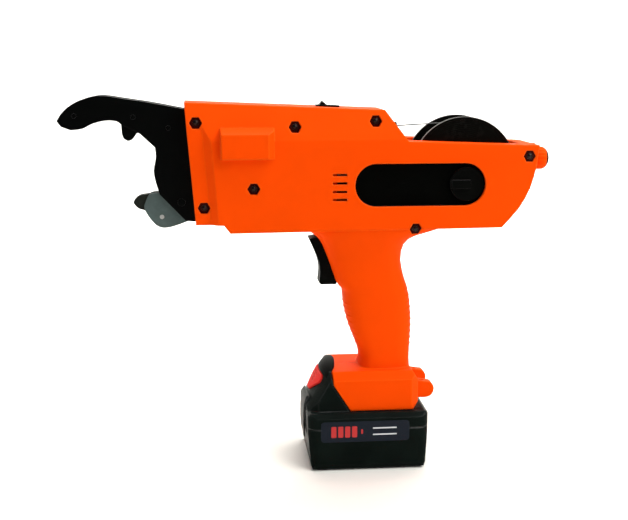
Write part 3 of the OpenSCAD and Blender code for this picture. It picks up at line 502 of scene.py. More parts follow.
def finish(name):
    """The named finish, made once."""
    scene = bpy.context.scene
    if name not in finishes:
        orange, edge = scene.tool_shell.colour, scene.tool_shell.edge
        dial_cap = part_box("torque_knob")[1][0] - DIAL_CAP
        makers = {
            "shell": lambda: moulded_shell("shell_orange", orange, edge),
            "cast": lambda: moulded_black("jaw_cast", (0.013, 0.0145, 0.012), 0.0006, 0.5, 0.0004),
            "dial": lambda: moulded_shell("dial_orange", orange, 0.0003, dial_cap),
            "rib": lambda: moulded_shell("rib_orange", orange, 0.0001),
            "black": lambda: moulded_black("black_moulding", BLACK, 0.0006, gloss=0.02, polish=0.25),
            "hood": lambda: moulded_black("hood_moulding", BLACK, 0.0006, gloss=0.015, polish=0.05),
            "tray": lambda: moulded_black("tray_moulding", (0.0007, 0.0008, 0.0006), 0.0006, 0.45, 0.0006, 0.012, 0.2),
            "pack": lambda: moulded_black("pack_case", scene.tool_pack.colour, 0.002, 0.22, 0.0008, 0.012, 0.5),
            "gloss": lambda: moulded_black("gloss_moulding", (0.0018, 0.0018, 0.0018), 0.0004, 0.2, 0.0003),
            "button": lambda: moulded_shell("button_red", scene.tool_pack.button_colour, 0.0006),
            "head": lambda: blackened_steel("head_steel", scene.tool_metal.head_colour, 0.0005),
            "nut": lambda: blackened_steel("nut_steel", (0.036, 0.0034, 0.0022), 0.0003),
            "jaw": lambda: plated_steel("jaw_steel", scene.tool_metal.jaw_colour, 0.42, 0.0004, (1, 1, 6), 0.35),
            "steel": lambda: plated_steel("bright_steel", (0.5, 0.5, 0.49), 0.26, 0.0003),
            "screw": lambda: plated_steel("screw_black", (0.032, 0.021, 0.019), 0.14, 0.0003),
            "wire": lambda: drawn_wire("tie_wire_steel"),
            "lead": lambda: drawn_wire("oiled_wire_steel", 0.42),
            "bronze": lambda: plated_steel("gear_bronze", (0.52, 0.31, 0.11), 0.34, 0.0002),
            "brass": lambda: plated_steel("contact_brass", (0.68, 0.47, 0.16), 0.28, 0.0002),
            "can": lambda: plated_steel("motor_can", (0.36, 0.37, 0.38), 0.4, 0.0006, (10, 1, 1)),
            "board": lambda: circuit_board("circuit_board"),
            "wrap": lambda: shrink_wrap("cell_wrap"),
            "label": lambda: printed_film("label_navy", scene.tool_pack.label_colour),
            "gauge": lambda: printed_film("gauge_red", (0.5, 0.035, 0.035)),
            "stripe": lambda: printed_film("stripe_pale", (0.62, 0.64, 0.66)),
            "floor": lambda: studio_floor("studio_paper", scene.tool_stage.floor_colour),
        }
        finishes[name] = makers[name]()
    return finishes[name]


def paint(node, name):
    """Gives a CAD node one of the finishes."""
    slots = frame["nodes"][node].data.materials
    slots.clear()
    slots.append(finish(name))


def add_piece(name, mesh, material, body, stands_for=()):
    """Puts a finished mesh in the scene: its place is in its vertices, and it rides on a body."""
    piece = bpy.data.objects.new(name, mesh)
    bpy.context.scene.collection.objects.link(piece)
    mesh.materials.clear()
    mesh.materials.append(finish(material))
    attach(piece, body)
    if stands_for:
        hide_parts(*stands_for)
    return piece


def grid_faces(rows, columns, wrap_columns=False):
    """Quads over a grid of rows by columns: each cell joins its four corners, and wrapped columns close the grid."""
    index = np.arange(rows * columns).reshape(rows, columns)
    index = np.hstack([index, index[:, :1]]) if wrap_columns else index
    corners = [index[:-1, :-1], index[1:, :-1], index[1:, 1:], index[:-1, 1:]]
    return np.stack(corners, axis=-1).reshape(-1, 4)


def surface(name, sheets, wrap_columns=False, smooth=True):
    """Mesh of one or more grids of points, sheets by rows by columns by 3. Doubles are merged and faces turned
    outwards."""
    sheets = np.asarray(sheets, float)
    count, rows, columns = sheets.shape[:3]
    faces = grid_faces(rows, columns, wrap_columns)
    faces = (faces[None] + (np.arange(count) * rows * columns)[:, None, None]).reshape(-1, 4)
    mesh = bpy.data.meshes.new(name)
    mesh.from_pydata(sheets.reshape(-1, 3).tolist(), [], faces.tolist())
    work = bmesh.new()
    work.from_mesh(mesh)
    bmesh.ops.remove_doubles(work, verts=work.verts, dist=1e-7)
    bmesh.ops.recalc_face_normals(work, faces=work.faces)
    work.to_mesh(mesh)
    work.free()
    mesh.polygons.foreach_set("use_smooth", np.full(len(mesh.polygons), smooth))
    return mesh


def catmull(points, steps):
    """Smooth curve through points: on each span a cubic whose slopes come from the neighbours, steps to a span."""
    p = np.asarray(points, float)
    padded = np.vstack([p[:1], p, p[-1:]])
    a, b, c, d = padded[:-3], padded[1:-2], padded[2:-1], padded[3:]
    t = (np.arange(steps) / steps)[None, :, None]
    a, b, c, d = (q[:, None, :] for q in (a, b, c, d))
    spans = (2 * b + (c - a) * t + (2 * a - 5 * b + 4 * c - d) * t**2 + (3 * b - a - 3 * c + d) * t**3) / 2
    return np.vstack([spans.reshape(-1, p.shape[1]), p[-1:]])


def rounded_frame(width, height, radius, inset):
    """Outline of a rectangle with round corners, counterclockwise from its right side, moved inwards by inset."""
    r = max(radius - inset, 1e-6)
    turn = np.radians(np.linspace(0, 90, 8))
    corner = np.stack([np.cos(turn), np.sin(turn)], axis=1) * r
    w, h = width / 2 - inset - r, height / 2 - inset - r
    quarters = []
    for k, (sx, sy) in enumerate([(1, 1), (-1, 1), (-1, -1), (1, -1)]):
        c, s = math.cos(k * math.pi / 2), math.sin(k * math.pi / 2)
        spin = np.array([[c, s], [-s, c]])
        quarters.append(corner @ spin + np.array([sx * w, sy * h]))
    return np.vstack(quarters)


def tablet(size, rings, middle=(0, 0)):
    """Closed low plate of a size (width, height, corner radius): rings of (inset, height) from the base to the top,
    shut by a pole at each end. The result is rings by outline points by (across, up, out)."""
    layers = []
    for inset, height in rings:
        edge = rounded_frame(*size, inset)
        layers.append(np.column_stack([edge + middle, np.full(len(edge), height)]))
    poles = [np.tile([*middle, h], (len(layers[0]), 1)) for h in (rings[0][1], rings[-1][1])]
    return np.stack([poles[0], *layers, poles[1]])


def tube_along(path, first, second, radius, sides):
    """Round tube: a circle of that radius carried along a path, on two unit directions across it at each point."""
    turn = np.linspace(0, 2 * math.pi, sides, endpoint=False)
    circle = first[:, None] * np.cos(turn)[None, :, None] + second[:, None] * np.sin(turn)[None, :, None]
    body = path[:, None] + radius * circle
    ends = [np.tile(path[k], (1, sides, 1)) for k in (0, -1)]
    return np.concatenate([ends[0], body, ends[1]])


def helix(radius, length, turns, steps):
    """Helix about +Z of whole turns: place, outward direction and the direction across both, at steps points a turn."""
    a = np.linspace(0, 2 * math.pi * turns, turns * steps + 1)
    out = np.stack([np.cos(a), np.sin(a), np.zeros_like(a)], axis=1)
    path = out * radius
    path[:, 2] = length * np.arange(len(a)) / (len(a) - 1)
    run = np.gradient(path, axis=0)
    run /= np.linalg.norm(run, axis=1, keepdims=True)
    return path, out, np.cross(run, out)


# Axes of a plate on the left side: along the tool, upwards and out to the left.
LEFT_FACE = ((1, 0, 0), (0, 0, 1), (0, -1, 0))


def placed(points, origin, x_axis, y_axis, z_axis):
    """Points of a local frame put into the tool's frame by its origin and its three unit axes."""
    return np.asarray(points) @ np.array([x_axis, y_axis, z_axis], float) + np.asarray(origin, float)


def smooth_copy(name, node, material, sharp, soft_zone=None, soft_sharp=None):
    """Copy of a CAD node with its doubles merged and smooth shading, broken at edges that turn by more than sharp
    degrees. Between the heights of soft_zone edges break only past soft_sharp."""
    source = frame["nodes"][node]
    mesh = source.data.copy()
    mesh.name = name
    work = bmesh.new()
    work.from_mesh(mesh)
    bmesh.ops.remove_doubles(work, verts=work.verts, dist=2e-6)
    work.to_mesh(mesh)
    work.free()
    count = len(mesh.edges)
    sides = np.zeros(len(mesh.loops), np.int64)
    mesh.loops.foreach_get("edge_index", sides)
    sizes = np.zeros(len(mesh.polygons), np.int64)
    mesh.polygons.foreach_get("loop_total", sizes)
    normals = np.zeros(len(mesh.polygons) * 3)
    mesh.polygons.foreach_get("normal", normals)
    owner = np.repeat(np.arange(len(sizes)), sizes)
    order = np.argsort(sides, kind="stable")
    first = np.searchsorted(sides[order], np.arange(count), "left")
    last = np.searchsorted(sides[order], np.arange(count), "right") - 1
    normals = normals.reshape(-1, 3)
    pair = owner[order]
    lean = np.einsum("ij,ij->i", normals[pair[first]], normals[pair[last]])
    limit = np.full(count, math.cos(math.radians(sharp)))
    if soft_zone is not None:
        ends = np.zeros(count * 2, np.int64)
        mesh.edges.foreach_get("vertices", ends)
        heights = np.zeros(len(mesh.vertices) * 3)
        mesh.vertices.foreach_get("co", heights)
        mid = heights.reshape(-1, 3)[ends.reshape(-1, 2), 2].mean(1)
        limit[(mid > soft_zone[0]) & (mid < soft_zone[1])] = math.cos(math.radians(soft_sharp))
    hard = (lean < limit) | (last - first != 1)
    mesh.polygons.foreach_set("use_smooth", np.full(len(sizes), True))
    flags = mesh.attributes.get("sharp_edge") or mesh.attributes.new("sharp_edge", "BOOLEAN", "EDGE")
    flags.data.foreach_set("value", hard)
    mesh.update()
    return add_piece(name, mesh, material, source["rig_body"], (node,))


# Edges that turn by more than this many degrees stay sharp.
SHELL_SHARP = 20
GRIP_SHARP = 50
ROUND_SHARP = 30
PLATE_SHARP = 25
PACK_SHARP = 22
# The heights in metres between which the housing is grip.
GRIP_ZONE = (0.068, 0.158)


class TOOL_OT_shells(bpy.types.Operator):
    """Dress the two moulded housing halves and the eyes behind the foot"""

    bl_idname = "tying_tool.shells"
    bl_label = "Housing shells"

    def execute(self, context):
        for side in ("left", "right"):
            housing = side + "_housing"
            smooth_copy(side + "_shell", housing, "shell", SHELL_SHARP, GRIP_ZONE, GRIP_SHARP)
        smooth_copy("lanyard_lugs", "lanyard_eyes", "shell", ROUND_SHARP)
        for node in ("left_panel", "right_panel"):
            smooth_copy(node.replace("panel", "tray"), node, "tray", ROUND_SHARP)
        return {"FINISHED"}


# The grip as the solids have it, in millimetres: its foot, its height, and rings of the share of that height, front,
# rear and half width.
GRIP_FOOT = 65.0
GRIP_HEIGHT = 95.0
GRIP_RINGS = [
    [-0.06, -6.2, 31.6, 17.5],
    [0.04, -2.8, 31, 16.6],
    [0.13, -4.2, 31.2, 16.2],
    [0.29, -10.1, 31.8, 16.2],
    [0.4, -12.8, 31.4, 16.4],
    [0.5, -14.2, 30.4, 16.8],
    [0.555, -15, 29.2, 17],
    [0.585, -18, 28.6, 17.1],
    [0.63, -20.4, 27, 17.4],
    [0.76, -24.6, 24.3, 18.8],
]
GRIP_POWER = 0.62
# Bands of ribs: middle angle, half spread in radians, lowest and highest rib.
RIB_BANDS = [(0.0, 0.95, 80.0, 119.0), (math.pi, 0.8, 79.0, 111.0)]
# A rib's depth in the grip in millimetres, its half width as a share of the pitch, and the powers that round its crown
# and end it.
RIB_ROOT = 0.35
RIB_HALF = 0.3
RIB_CROWN = 0.8
RIB_END = 5


def grip_point(height, angle, proud):
    """Place on the grip: at a height its section is a rounded oblong, x and y as the GRIP_POWER of cosine and sine
    between the front and rear edges, pushed out along the section's normal by proud. All in millimetres."""
    rings = catmull(GRIP_RINGS, 2)
    share = (height - GRIP_FOOT) / GRIP_HEIGHT
    front, rear, half = (np.interp(share, rings[:, 0], rings[:, k]) for k in (1, 2, 3))
    c, s = np.cos(angle), np.sin(angle)
    reach = (rear - front) / 2
    x = (front + rear) / 2 + reach * np.sign(c) * np.abs(c) ** GRIP_POWER
    y = half * np.sign(s) * np.abs(s) ** GRIP_POWER
    nx = np.sign(c) * np.abs(c) ** (2 - GRIP_POWER) / reach
    ny = np.sign(s) * np.abs(s) ** (2 - GRIP_POWER) / half
    size = np.hypot(nx, ny)
    return np.stack([x + proud * nx / size, y + proud * ny / size, height + 0 * angle], axis=-1)


class TOOL_OT_ribs(bpy.types.Operator):
    """Add the ribs on the front and back of the grip"""

    bl_idname = "tying_tool.ribs"
    bl_label = "Grip ribs"

    def execute(self, context):
        settings = context.scene.tool_shell
        pitch, tall = settings.rib_pitch / MM, settings.rib_height / MM
        sheets = []
        for middle, spread, low, high in RIB_BANDS:
            levels = np.arange(low, high + 0.01, pitch)[:, None, None]
            u = np.linspace(-1, 1, 41)[None, :, None]
            v = np.linspace(-1, 1, 9)[None, None, :]
            taper = np.clip(1 - np.abs(u) ** RIB_END, 0, 1)
            proud = -RIB_ROOT + (tall + RIB_ROOT) * np.cos(v * math.pi / 2) ** RIB_CROWN * taper
            height = levels + v * pitch * RIB_HALF + 0 * u
            angle = middle + u * spread + 0 * v + 0 * levels
            sheets.append(grip_point(height, angle, proud + 0 * levels) * MM)
        mesh = surface("grip_ribs", np.concatenate(sheets))
        add_piece("grip_ribs", mesh, "rib", "tool")
        return {"FINISHED"}


# Fillings at the lower corners of the head plates, in millimetres: width, height and corner radius, rings of inset and
# height, and places.
CORNER_PLATE = (1.5, 3.7, 0.2)
CORNER_RINGS = [(0, -1.5), (0, 1.4), (0.1, 1.5)]
CORNERS = [(-112.3, -7.5, 167.25), (-112.3, 7.5, 167.25)]
# The jaw's spring in millimetres: radius to the middle of the wire, length, turns and steps in a turn, and then the
# wire's radius and sides. The other springs are given in the same way.
JAW_COIL = (3.5, 4.4, 3, 40)
JAW_COIL_WIRE = (0.45, 10)


class TOOL_OT_head(bpy.types.Operator):
    """Dress the head plates, the wire guide, the lower jaw and the twisting hook"""

    bl_idname = "tying_tool.head"
    bl_label = "Head and jaw"

    def execute(self, context):
        for side in ("left", "right"):
            smooth_copy(side + "_cheek", side + "_head_plate", "head", PLATE_SHARP)
        smooth_copy("hook_guide", "curl_guide", "head", PLATE_SHARP)
        smooth_copy("jaw_cheeks", "jaw_plates", "jaw", PLATE_SHARP)
        smooth_copy("jaw_nose", "jaw_guide", "cast", PLATE_SHARP)
        plate = tablet(CORNER_PLATE, CORNER_RINGS) * MM
        corners = [placed(plate, np.array(place) * MM, *LEFT_FACE) for place in CORNERS]
        mesh = surface("cheek_corners", np.stack(corners), wrap_columns=True, smooth=False)
        add_piece("cheek_corners", mesh, "head", frame["nodes"]["left_head_plate"]["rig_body"])
        paint("head_spacers", "head")
        paint("jaw_pin", "head")
        for node in ("jaw_rivets", "cutter_die", "guide_tube", "twist_shaft", "twist_hooks"):
            paint(node, "steel")
        paint("shaft_bearing", "bronze")
        start = centre_of("jaw_pin") + [0, JAW_COIL[1] / 2 * MM, 0]
        coil = placed(tube_along(*helix(*JAW_COIL), *JAW_COIL_WIRE) * MM, start, *LEFT_FACE)
        mesh = surface("jaw_torsion_coil", coil[None], wrap_columns=True)
        add_piece("jaw_torsion_coil", mesh, "steel", "lower_jaw", ("jaw_spring",))
        return {"FINISHED"}


# Tie wire, the room left round the winding and the core under it, in metres.
WIRE_D = 0.8 * MM
WIRE_ROOM = 0.02 * MM
WIRE_SLACK = 0.01 * MM
BED_ROOM = 0.05 * MM
SPOOL_CORE_R = 0.0161
# The layers below the outer one: depth and ripple in wire thicknesses, and cosine waves for each turn.
BED_DEPTH = 1.75
BED_RIPPLE = 0.3
BED_WAVES = 1.5
SPOOL_COLOUR = (0.0016, 0.0019, 0.0014)


class TOOL_OT_wire(bpy.types.Operator):
    """Wind the tie wire on its spool and dress the spool and the feed"""

    bl_idname = "tying_tool.wire"
    bl_label = "Spool and wire"

    def execute(self, context):
        turns = context.scene.tool_metal.wire_turns
        middle = centre_of("spool")
        low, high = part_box("wire_winding")
        outer = (high[2] - low[2]) / 2
        width = high[1] - low[1]
        length = width - 2 * WIRE_D
        spiral = helix(outer - WIRE_D / 2 - WIRE_ROOM, length, turns, 64)
        coil = tube_along(*spiral, WIRE_D / 2 - WIRE_SLACK, 8)
        layer = placed(coil, middle + [0, length / 2, 0], *LEFT_FACE)
        turn = np.linspace(0, 2 * math.pi, 96, endpoint=False)[None, :]
        along = np.linspace(-1, 1, 257)[:, None]
        ripple = np.abs(np.cos(along * math.pi * turns * BED_WAVES))
        under = outer - BED_DEPTH * WIRE_D + BED_RIPPLE * WIRE_D * ripple
        under[[0, -1]] = SPOOL_CORE_R
        y = middle[1] + along * (width / 2 - BED_ROOM) + 0 * turn
        core = np.stack([middle[0] + under * np.cos(turn), y, middle[2] + under * np.sin(turn)], axis=-1)
        winding = surface("wound_wire", layer[None], wrap_columns=True)
        bed = surface("wound_bed", core[None], wrap_columns=True)
        work = bmesh.new()
        work.from_mesh(winding)
        work.from_mesh(bed)
        work.to_mesh(winding)
        work.free()
        add_piece("wound_wire", winding, "wire", "wire_reel", ("wire_winding",))
        paint("tie_wire", "lead")
        reel = smooth_copy("wire_spool", "spool", "gloss", ROUND_SHARP)
        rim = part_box("spool")[1][0] - middle[0]
        reel.data.materials[0] = spool_plastic("spool_black", SPOOL_COLOUR, (*middle, rim))
        paint("spool_axle", "steel")
        paint("inlet_bush", "black")
        for node in ("feed_shaft", "feed_wheel", "idler_pin", "idler_wheel"):
            paint(node, "steel")
        for node in ("feed_gear", "feed_pinion"):
            paint(node, "bronze")
        return {"FINISHED"}


# The seven bolts, x and z in millimetres, with the distance within which their points lie.
BOLTS = [
    (-110.4, 229.7),
    (-47.7, 226.9),
    (4.2, 230.3),
    (-74.4, 188.1),
    (-106.0, 175.8),
    (30.4, 161.0),
    (104.6, 207.4),
]
BOLT_REACH = 4
# The domes on the bolts' ends in millimetres: radius, rise and depth in the bolt.
TIP_R = 1.5
TIP_RISE = 0.5
TIP_SINK = 0.02
# The trigger's spring.
TRIGGER_COIL = (2.6, 8.9, 5, 32)
TRIGGER_COIL_WIRE = (0.4, 8)

# The dial in millimetres: its stub, the gap to the drum, the drum's chamfer, the short step that keeps an edge crisp,
# the dome on its end and the flutes round it, with where they end before the tip and the run over which they fade.
DIAL_STUB = 5.0
DIAL_STUB_R = 3.0
DIAL_GAP = 0.2
DIAL_CHAMFER = 0.3
DIAL_STEP = 0.02
DIAL_DOME = 5.4
DIAL_FLUTES = 18
DIAL_FLUTE_DEPTH = 0.35
DIAL_FLUTE_END = 1.2
DIAL_FLUTE_FADE = 3


def dial_rows():
    """Turned dial on its stub: a drum whose outer end is half an ellipse of depth DIAL_DOME. Round it run flutes, as
    deep as the fourth power of a cosine, that fade out over the dome."""
    low, high = (np.array(corner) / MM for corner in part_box("torque_knob"))
    middle = (low + high) / 2
    radius = (high[2] - low[2]) / 2
    inner, step, chamfer = low[0], DIAL_STEP, DIAL_CHAMFER
    base = inner + DIAL_STUB + DIAL_GAP
    t = np.linspace(0, math.pi / 2, 17)
    stub = [[inner, 0], [inner, DIAL_STUB_R - step], [inner + step, DIAL_STUB_R], [base - step, DIAL_STUB_R]]
    drum = [[base, DIAL_STUB_R + step], [base, radius - (chamfer + step)]]
    drum += [[base + step, radius - chamfer], [base + chamfer, radius]]
    dome = np.stack([high[0] - DIAL_DOME * (1 - np.sin(t)), radius * np.cos(t)], axis=1)
    x, r = np.vstack([stub, drum, dome]).T[:, :, None]
    turn = np.linspace(0, 2 * math.pi, DIAL_FLUTES * 8, endpoint=False)[None, :]
    fade = np.clip((high[0] - DIAL_FLUTE_END - x) / DIAL_FLUTE_FADE, 0, 1) * (r > DIAL_STUB_R + 1)
    reach = r - DIAL_FLUTE_DEPTH * fade * np.cos(DIAL_FLUTES / 2 * turn) ** 4
    return np.stack([x + 0 * turn, middle[1] + reach * np.cos(turn), middle[2] + reach * np.sin(turn)], axis=-1) * MM


class TOOL_OT_controls(bpy.types.Operator):
    """Dress the trigger, the switches, the dial, the lock and the screws"""

    bl_idname = "tying_tool.controls"
    bl_label = "Controls and fasteners"

    def execute(self, context):
        smooth_copy("trigger_lever", "trigger", "black", PLATE_SHARP)
        mesh = surface("dial", dial_rows()[None], wrap_columns=True)
        add_piece("dial", mesh, "dial", frame["nodes"]["torque_knob"]["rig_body"], ("torque_knob",))
        smooth_copy("turn_lock", "lock_knob", "black", ROUND_SHARP)
        for node in ("rocker", "rocker_body"):
            paint(node, "gloss")
        paint("housing_nuts", "nut")
        paint("housing_bolts", "screw")
        source = frame["nodes"]["housing_bolts"].data
        points = np.zeros(len(source.vertices) * 3)
        source.vertices.foreach_get("co", points)
        points = points.reshape(-1, 3) / MM
        reach = np.linspace(0, 1, 7)[:, None]
        turn = np.linspace(0, 2 * math.pi, 32, endpoint=False)[None, :]
        tips = []
        for x, z in BOLTS:
            end = points[np.hypot(points[:, 0] - x, points[:, 2] - z) < BOLT_REACH, 1].min()
            y = end - TIP_RISE * (1 - reach**2) + TIP_SINK + 0 * turn
            dome = [x + TIP_R * reach * np.cos(turn), y, z + TIP_R * reach * np.sin(turn)]
            tips.append(np.stack(dome, axis=-1) * MM)
        mesh = surface("bolt_tips", np.stack(tips), wrap_columns=True)
        add_piece("bolt_tips", mesh, "screw", "tool")
        paint("trigger_pin", "steel")
        low, high = (np.array(corner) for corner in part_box("trigger_spring"))
        origin = np.array([low[0] + TRIGGER_COIL_WIRE[0] * MM, 0, (low[2] + high[2]) / 2])
        coil = tube_along(*helix(*TRIGGER_COIL), *TRIGGER_COIL_WIRE) * MM
        coil = placed(coil, origin, (0, 0, -1), (0, 1, 0), (1, 0, 0))
        mesh = surface("trigger_coil", coil[None], wrap_columns=True)
        spring = add_piece("trigger_coil", mesh, "steel", "tool", ("trigger_spring",))
        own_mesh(spring)
        return {"FINISHED"}


# Side views of the pack's hood in millimetres, x and z: over the middle, at its two ends and inside the hump.
HOOD_CREST = [
    [-29.4, 61.4],
    [-30.2, 62],
    [-30.1, 62.8],
    [-28.6, 64.9],
    [-26, 67],
    [-23.4, 68.3],
    [-20.9, 69.1],
    [-20.2, 68.9],
    [-19.9, 68.2],
    [-19.9, 65.3],
]
HOOD_EDGE = [
    [-27.2, 60.1],
    [-27.2, 60.3],
    [-27, 60.8],
    [-26.2, 62.2],
    [-25, 64.2],
    [-24.2, 64.9],
    [-23.6, 65],
    [-23.4, 65.3],
    [-23.4, 65.3],
    [-23.4, 65.3],
]
HOOD_UNDER = [[-23.4, 65.3], [-24.8, 63.6], [-27, 60.2]]
HOOD_HALF = 20.0
# The label with its bars and lines, in millimetres: sizes are width, height and corner radius, and rings are inset and
# height. The label's place is x and z on the pack; the others are from its middle.
LABEL_PLACE = (-2.5, 27.0)
LABEL_SIZE = (59, 14, 2.4)
LABEL_RINGS = [(0, -0.2), (0, 0.1), (0.12, 0.18)]
BAR_SIZE = (3.4, 7.6, 0.7)
BAR_RINGS = [(0, 0.1), (0, 0.2), (0.08, 0.26)]
BAR_FIRST = -21
BAR_PITCH = 4.6
BAR_COUNT = 4
BAR_TIP_SIZE = (1.2, 3.2, 0.5)
BAR_TIP_PLACE = (-2.2, 0)
LINE_SIZE = (16, 0.9, 0.4)
LINE_RINGS = [(0, 0.1), (0, 0.2), (0.05, 0.24)]
LINE_PLACES = [(13, 2.2), (13, -2.2)]


def hood_rows():
    """Arched hood over the top of the pack's hump: at each y its side view is the edge curve plus the way to the crest
    curve times 1 - (y / half)^2, shut underneath inside the hump and by a pole at each end. In millimetres."""
    crest, edge = catmull(HOOD_CREST, 4), catmull(HOOD_EDGE, 4)
    y = np.linspace(-HOOD_HALF, HOOD_HALF, 61)
    arch = (1 - (y / HOOD_HALF) ** 2)[:, None, None]
    top = edge + (crest - edge) * arch
    under = np.tile(np.array(HOOD_UNDER), (len(y), 1, 1))
    loop = np.concatenate([top, under], axis=1)
    loop = np.concatenate([loop[:1] * 0 + loop[0].mean(0), loop, loop[-1:] * 0 + loop[-1].mean(0)])
    along = np.concatenate([y[:1], y, y[-1:]])[:, None, None] + 0 * loop[..., :1]
    return np.concatenate([loop[..., :1], along, loop[..., 1:]], axis=-1)


class TOOL_OT_pack(bpy.types.Operator):
    """Dress the battery pack and add its plain label with charge bars"""

    bl_idname = "tying_tool.pack"
    bl_label = "Battery pack"

    def execute(self, context):
        smooth_copy("pack_lower_case", "pack_tub", "pack", PACK_SHARP)
        smooth_copy("pack_upper_case", "pack_cover", "pack", PACK_SHARP)
        smooth_copy("release_key", "release_button", "button", ROUND_SHARP)
        hood = surface("pack_hood", hood_rows()[None] * MM, wrap_columns=True)
        add_piece("pack_hood", hood, "hood", "battery")
        bars = [tablet(BAR_SIZE, BAR_RINGS, (BAR_FIRST + BAR_PITCH * k, 0)) for k in range(BAR_COUNT)]
        bars.append(tablet(BAR_TIP_SIZE, BAR_RINGS, BAR_TIP_PLACE))
        lines = [tablet(LINE_SIZE, LINE_RINGS, place) for place in LINE_PLACES]
        prints = [
            ("charge_label", [tablet(LABEL_SIZE, LABEL_RINGS)], "label", "black_plastic"),
            ("charge_bars", bars, "gauge", "red_plastic"),
            ("label_lines", lines, "stripe", "bright_steel"),
        ]
        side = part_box("pack_tub")[0][1] / MM
        at = np.array([LABEL_PLACE[0], side, LABEL_PLACE[1]]) * MM
        for name, plates, material, slot in prints:
            mesh = surface(name, placed(np.stack(plates) * MM, at, *LEFT_FACE), wrap_columns=True, smooth=False)
            add_piece(name, mesh, material, "battery")
        return {"FINISHED"}


# The two springs under the release key, in millimetres, and the slope of the key in degrees.
RELEASE_COIL = (1.8, 2.8, 3, 32)
RELEASE_COIL_WIRE = (0.3, 8)
RELEASE_SLOPE = 60


class TOOL_OT_inside(bpy.types.Operator):
    """Dress the motors, boards, cells and terminals inside"""

    bl_idname = "tying_tool.inside"
    bl_label = "Inner pieces"

    def execute(self, context):
        for node in ("gearbox", "twist_motor", "feed_motor"):
            paint(node, "can")
        for node in ("control_board", "pack_board", "torque_pot"):
            paint(node, "board")
        for node in ("terminal_blades", "pack_contacts"):
            paint(node, "brass")
        for node in ("trigger_switch", "terminal_block"):
            paint(node, "black")
        paint("pack_cells", "wrap")
        paint("pack_screws", "steel")
        coil = tube_along(*helix(*RELEASE_COIL), *RELEASE_COIL_WIRE)
        tilt = math.radians(RELEASE_SLOPE)
        along, outward = (math.cos(tilt), 0, math.sin(tilt)), (-math.sin(tilt), 0, math.cos(tilt))
        low, high = (np.array(corner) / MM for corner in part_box("release_springs"))
        seat = (low + high) / 2 - RELEASE_COIL[1] / 2 * np.array(outward)
        apart = (high[1] - low[1]) / 2 - (RELEASE_COIL[0] + RELEASE_COIL_WIRE[0])
        coils = [placed(coil * MM, (seat + [0, y, 0]) * MM, along, (0, 1, 0), outward) for y in (-apart, apart)]
        mesh = surface("release_coils", np.stack(coils), wrap_columns=True)
        springs = add_piece("release_coils", mesh, "steel", "battery", ("release_springs",))
        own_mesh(springs)
        return {"FINISHED"}


# Lights: name, place, aim and size in metres, share of the key light's power, and colour.
LAMPS = [
    ("key_light", (0.9, -0.85, 1.1), (0, 0, 0.14), 1.1, 1.0, (1, 0.985, 0.96)),
    ("side_light", (-1.25, -0.2, 0.3), (-0.04, 0, 0.05), 0.2, 0.1, (1, 1, 1)),
    ("top_light", (0.25, 0.2, 1.5), (0, 0.02, 0), 1.7, 1.75, (1, 1, 1)),
    ("back_light", (0.2, 0.75, 1.3), (0.1, 1.6, 0.6), 1.4, 1.8, (1, 1, 1)),
]
AIR_COLOUR = (0.95, 0.97, 1.0, 1)
AIR_STRENGTH = 0.2
# The camera stands to the left of the tool, in metres, looks down by the first angle and turns to the rear by the
# second, in degrees. Its sensor is in millimetres.
CAMERA_PLACE = (-0.10304, -0.716, 0.27186)
CAMERA_DOWN = 10.632
CAMERA_TURN = 5.552
CAMERA_SENSOR = 36
CAMERA_FAR = 20
# The sweep in metres: its front edge, where its floor ends, the radius of its bend, its wall's foot and top, and half
# its width.
SWEEP_FRONT = -3.0
SWEEP_BEND = 0.9
SWEEP_R = 0.7
SWEEP_FOOT = 1.0
SWEEP_TOP = 3.0
SWEEP_HALF = 4


def sweep_rows():
    """Studio sweep: a flat floor, a quarter circle of radius SWEEP_R upwards and a wall, the same all across."""
    bend = np.linspace(0.1, math.pi / 2, 14)
    depth = [np.linspace(SWEEP_FRONT, SWEEP_BEND, 12), SWEEP_BEND + SWEEP_R * np.sin(bend)]
    depth = np.concatenate([*depth, np.full(4, SWEEP_BEND + SWEEP_R)])[:, None]
    wall = np.linspace(SWEEP_FOOT, SWEEP_TOP, 4)
    rise = np.concatenate([np.zeros(12), SWEEP_R - SWEEP_R * np.cos(bend), wall])[:, None]
    across = np.linspace(-SWEEP_HALF, SWEEP_HALF, 9)[None, :]
    return np.stack([across + 0 * depth, depth + 0 * across, rise + 0 * across], axis=-1)


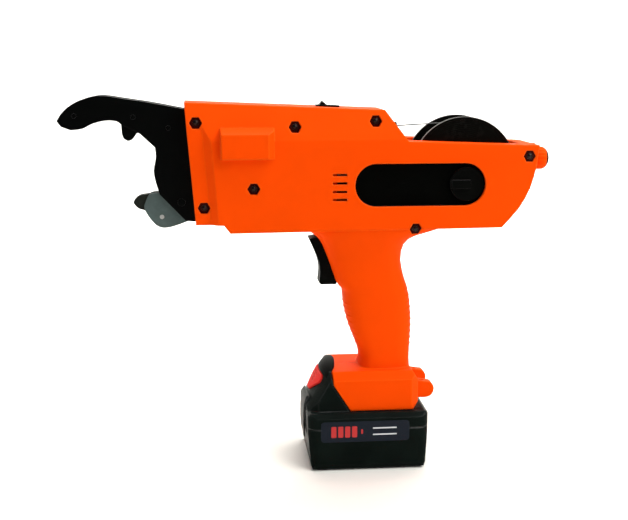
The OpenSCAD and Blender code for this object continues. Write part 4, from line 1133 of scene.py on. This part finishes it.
class TOOL_OT_stage(bpy.types.Operator):
    """Set the pale floor, the soft light and the camera"""

    bl_idname = "tying_tool.stage"
    bl_label = "Studio"

    def execute(self, context):
        settings = context.scene.tool_stage
        mesh = surface("studio_sweep", sweep_rows()[None])
        floor = bpy.data.objects.new("studio_sweep", mesh)
        context.scene.collection.objects.link(floor)
        mesh.materials.append(finish("floor"))
        world = bpy.data.worlds.new("studio_air")
        world.use_nodes = True
        world.node_tree.nodes["Background"].inputs[0].default_value = AIR_COLOUR
        world.node_tree.nodes["Background"].inputs[1].default_value = AIR_STRENGTH
        context.scene.world = world
        for name, place, aim, size, share, colour in LAMPS:
            lamp = bpy.data.lights.new(name, "AREA")
            lamp.size = size
            lamp.energy = settings.key_power * share
            lamp.color = colour
            holder = bpy.data.objects.new(name, lamp)
            context.scene.collection.objects.link(holder)
            holder.location = place
            run = np.array(aim) - np.array(place)
            tilt = math.acos(-run[2] / np.linalg.norm(run))
            holder.rotation_euler = (tilt, 0, math.atan2(run[1], run[0]) - math.pi / 2)
        lens = bpy.data.cameras.new("camera")
        lens.lens = settings.lens
        lens.sensor_width = CAMERA_SENSOR
        lens.clip_end = CAMERA_FAR
        camera = bpy.data.objects.new("camera", lens)
        context.scene.collection.objects.link(camera)
        camera.location = CAMERA_PLACE
        camera.rotation_euler = (math.radians(90 - CAMERA_DOWN), 0, math.radians(-CAMERA_TURN))
        context.scene.camera = camera
        context.scene.view_settings.view_transform = "Standard"
        return {"FINISHED"}


class TOOL_PT_panel(bpy.types.Panel):
    """Sizes, colours and steps of the tying tool"""

    bl_idname = "TOOL_PT_panel"
    bl_label = "Tying tool"
    bl_space_type = "VIEW_3D"
    bl_region_type = "UI"
    bl_category = "Tying tool"

    def draw(self, context):
        for name in GROUPS:
            group = getattr(context.scene, name)
            box = self.layout.box()
            for key in group.bl_rna.properties.keys():
                if key not in ("rna_type", "name"):
                    box.prop(group, key)
        for step in STEPS:
            self.layout.operator(step.bl_idname)


GROUPS = {
    "tool_shell": ShellSettings,
    "tool_metal": MetalSettings,
    "tool_pack": PackSettings,
    "tool_stage": StageSettings,
}
STEPS = [
    TOOL_OT_stage,
    TOOL_OT_shells,
    TOOL_OT_ribs,
    TOOL_OT_head,
    TOOL_OT_wire,
    TOOL_OT_controls,
    TOOL_OT_pack,
    TOOL_OT_inside,
]


def register():
    """Registers the settings, the steps and the panel."""
    for name, group in GROUPS.items():
        bpy.utils.register_class(group)
        setattr(bpy.types.Scene, name, bpy.props.PointerProperty(type=group))
    for step in STEPS:
        bpy.utils.register_class(step)
    bpy.utils.register_class(TOOL_PT_panel)


def unregister():
    """Removes what register added."""
    bpy.utils.unregister_class(TOOL_PT_panel)
    for step in reversed(STEPS):
        bpy.utils.unregister_class(step)
    for name, group in GROUPS.items():
        delattr(bpy.types.Scene, name)
        bpy.utils.unregister_class(group)


def main():
    """Builds the whole scene."""
    register()
    bpy.ops.tying_tool.stage()
    bpy.ops.tying_tool.shells()
    bpy.ops.tying_tool.ribs()
    bpy.ops.tying_tool.head()
    bpy.ops.tying_tool.wire()
    bpy.ops.tying_tool.controls()
    bpy.ops.tying_tool.pack()
    bpy.ops.tying_tool.inside()


if __name__ == "__main__":
    main()
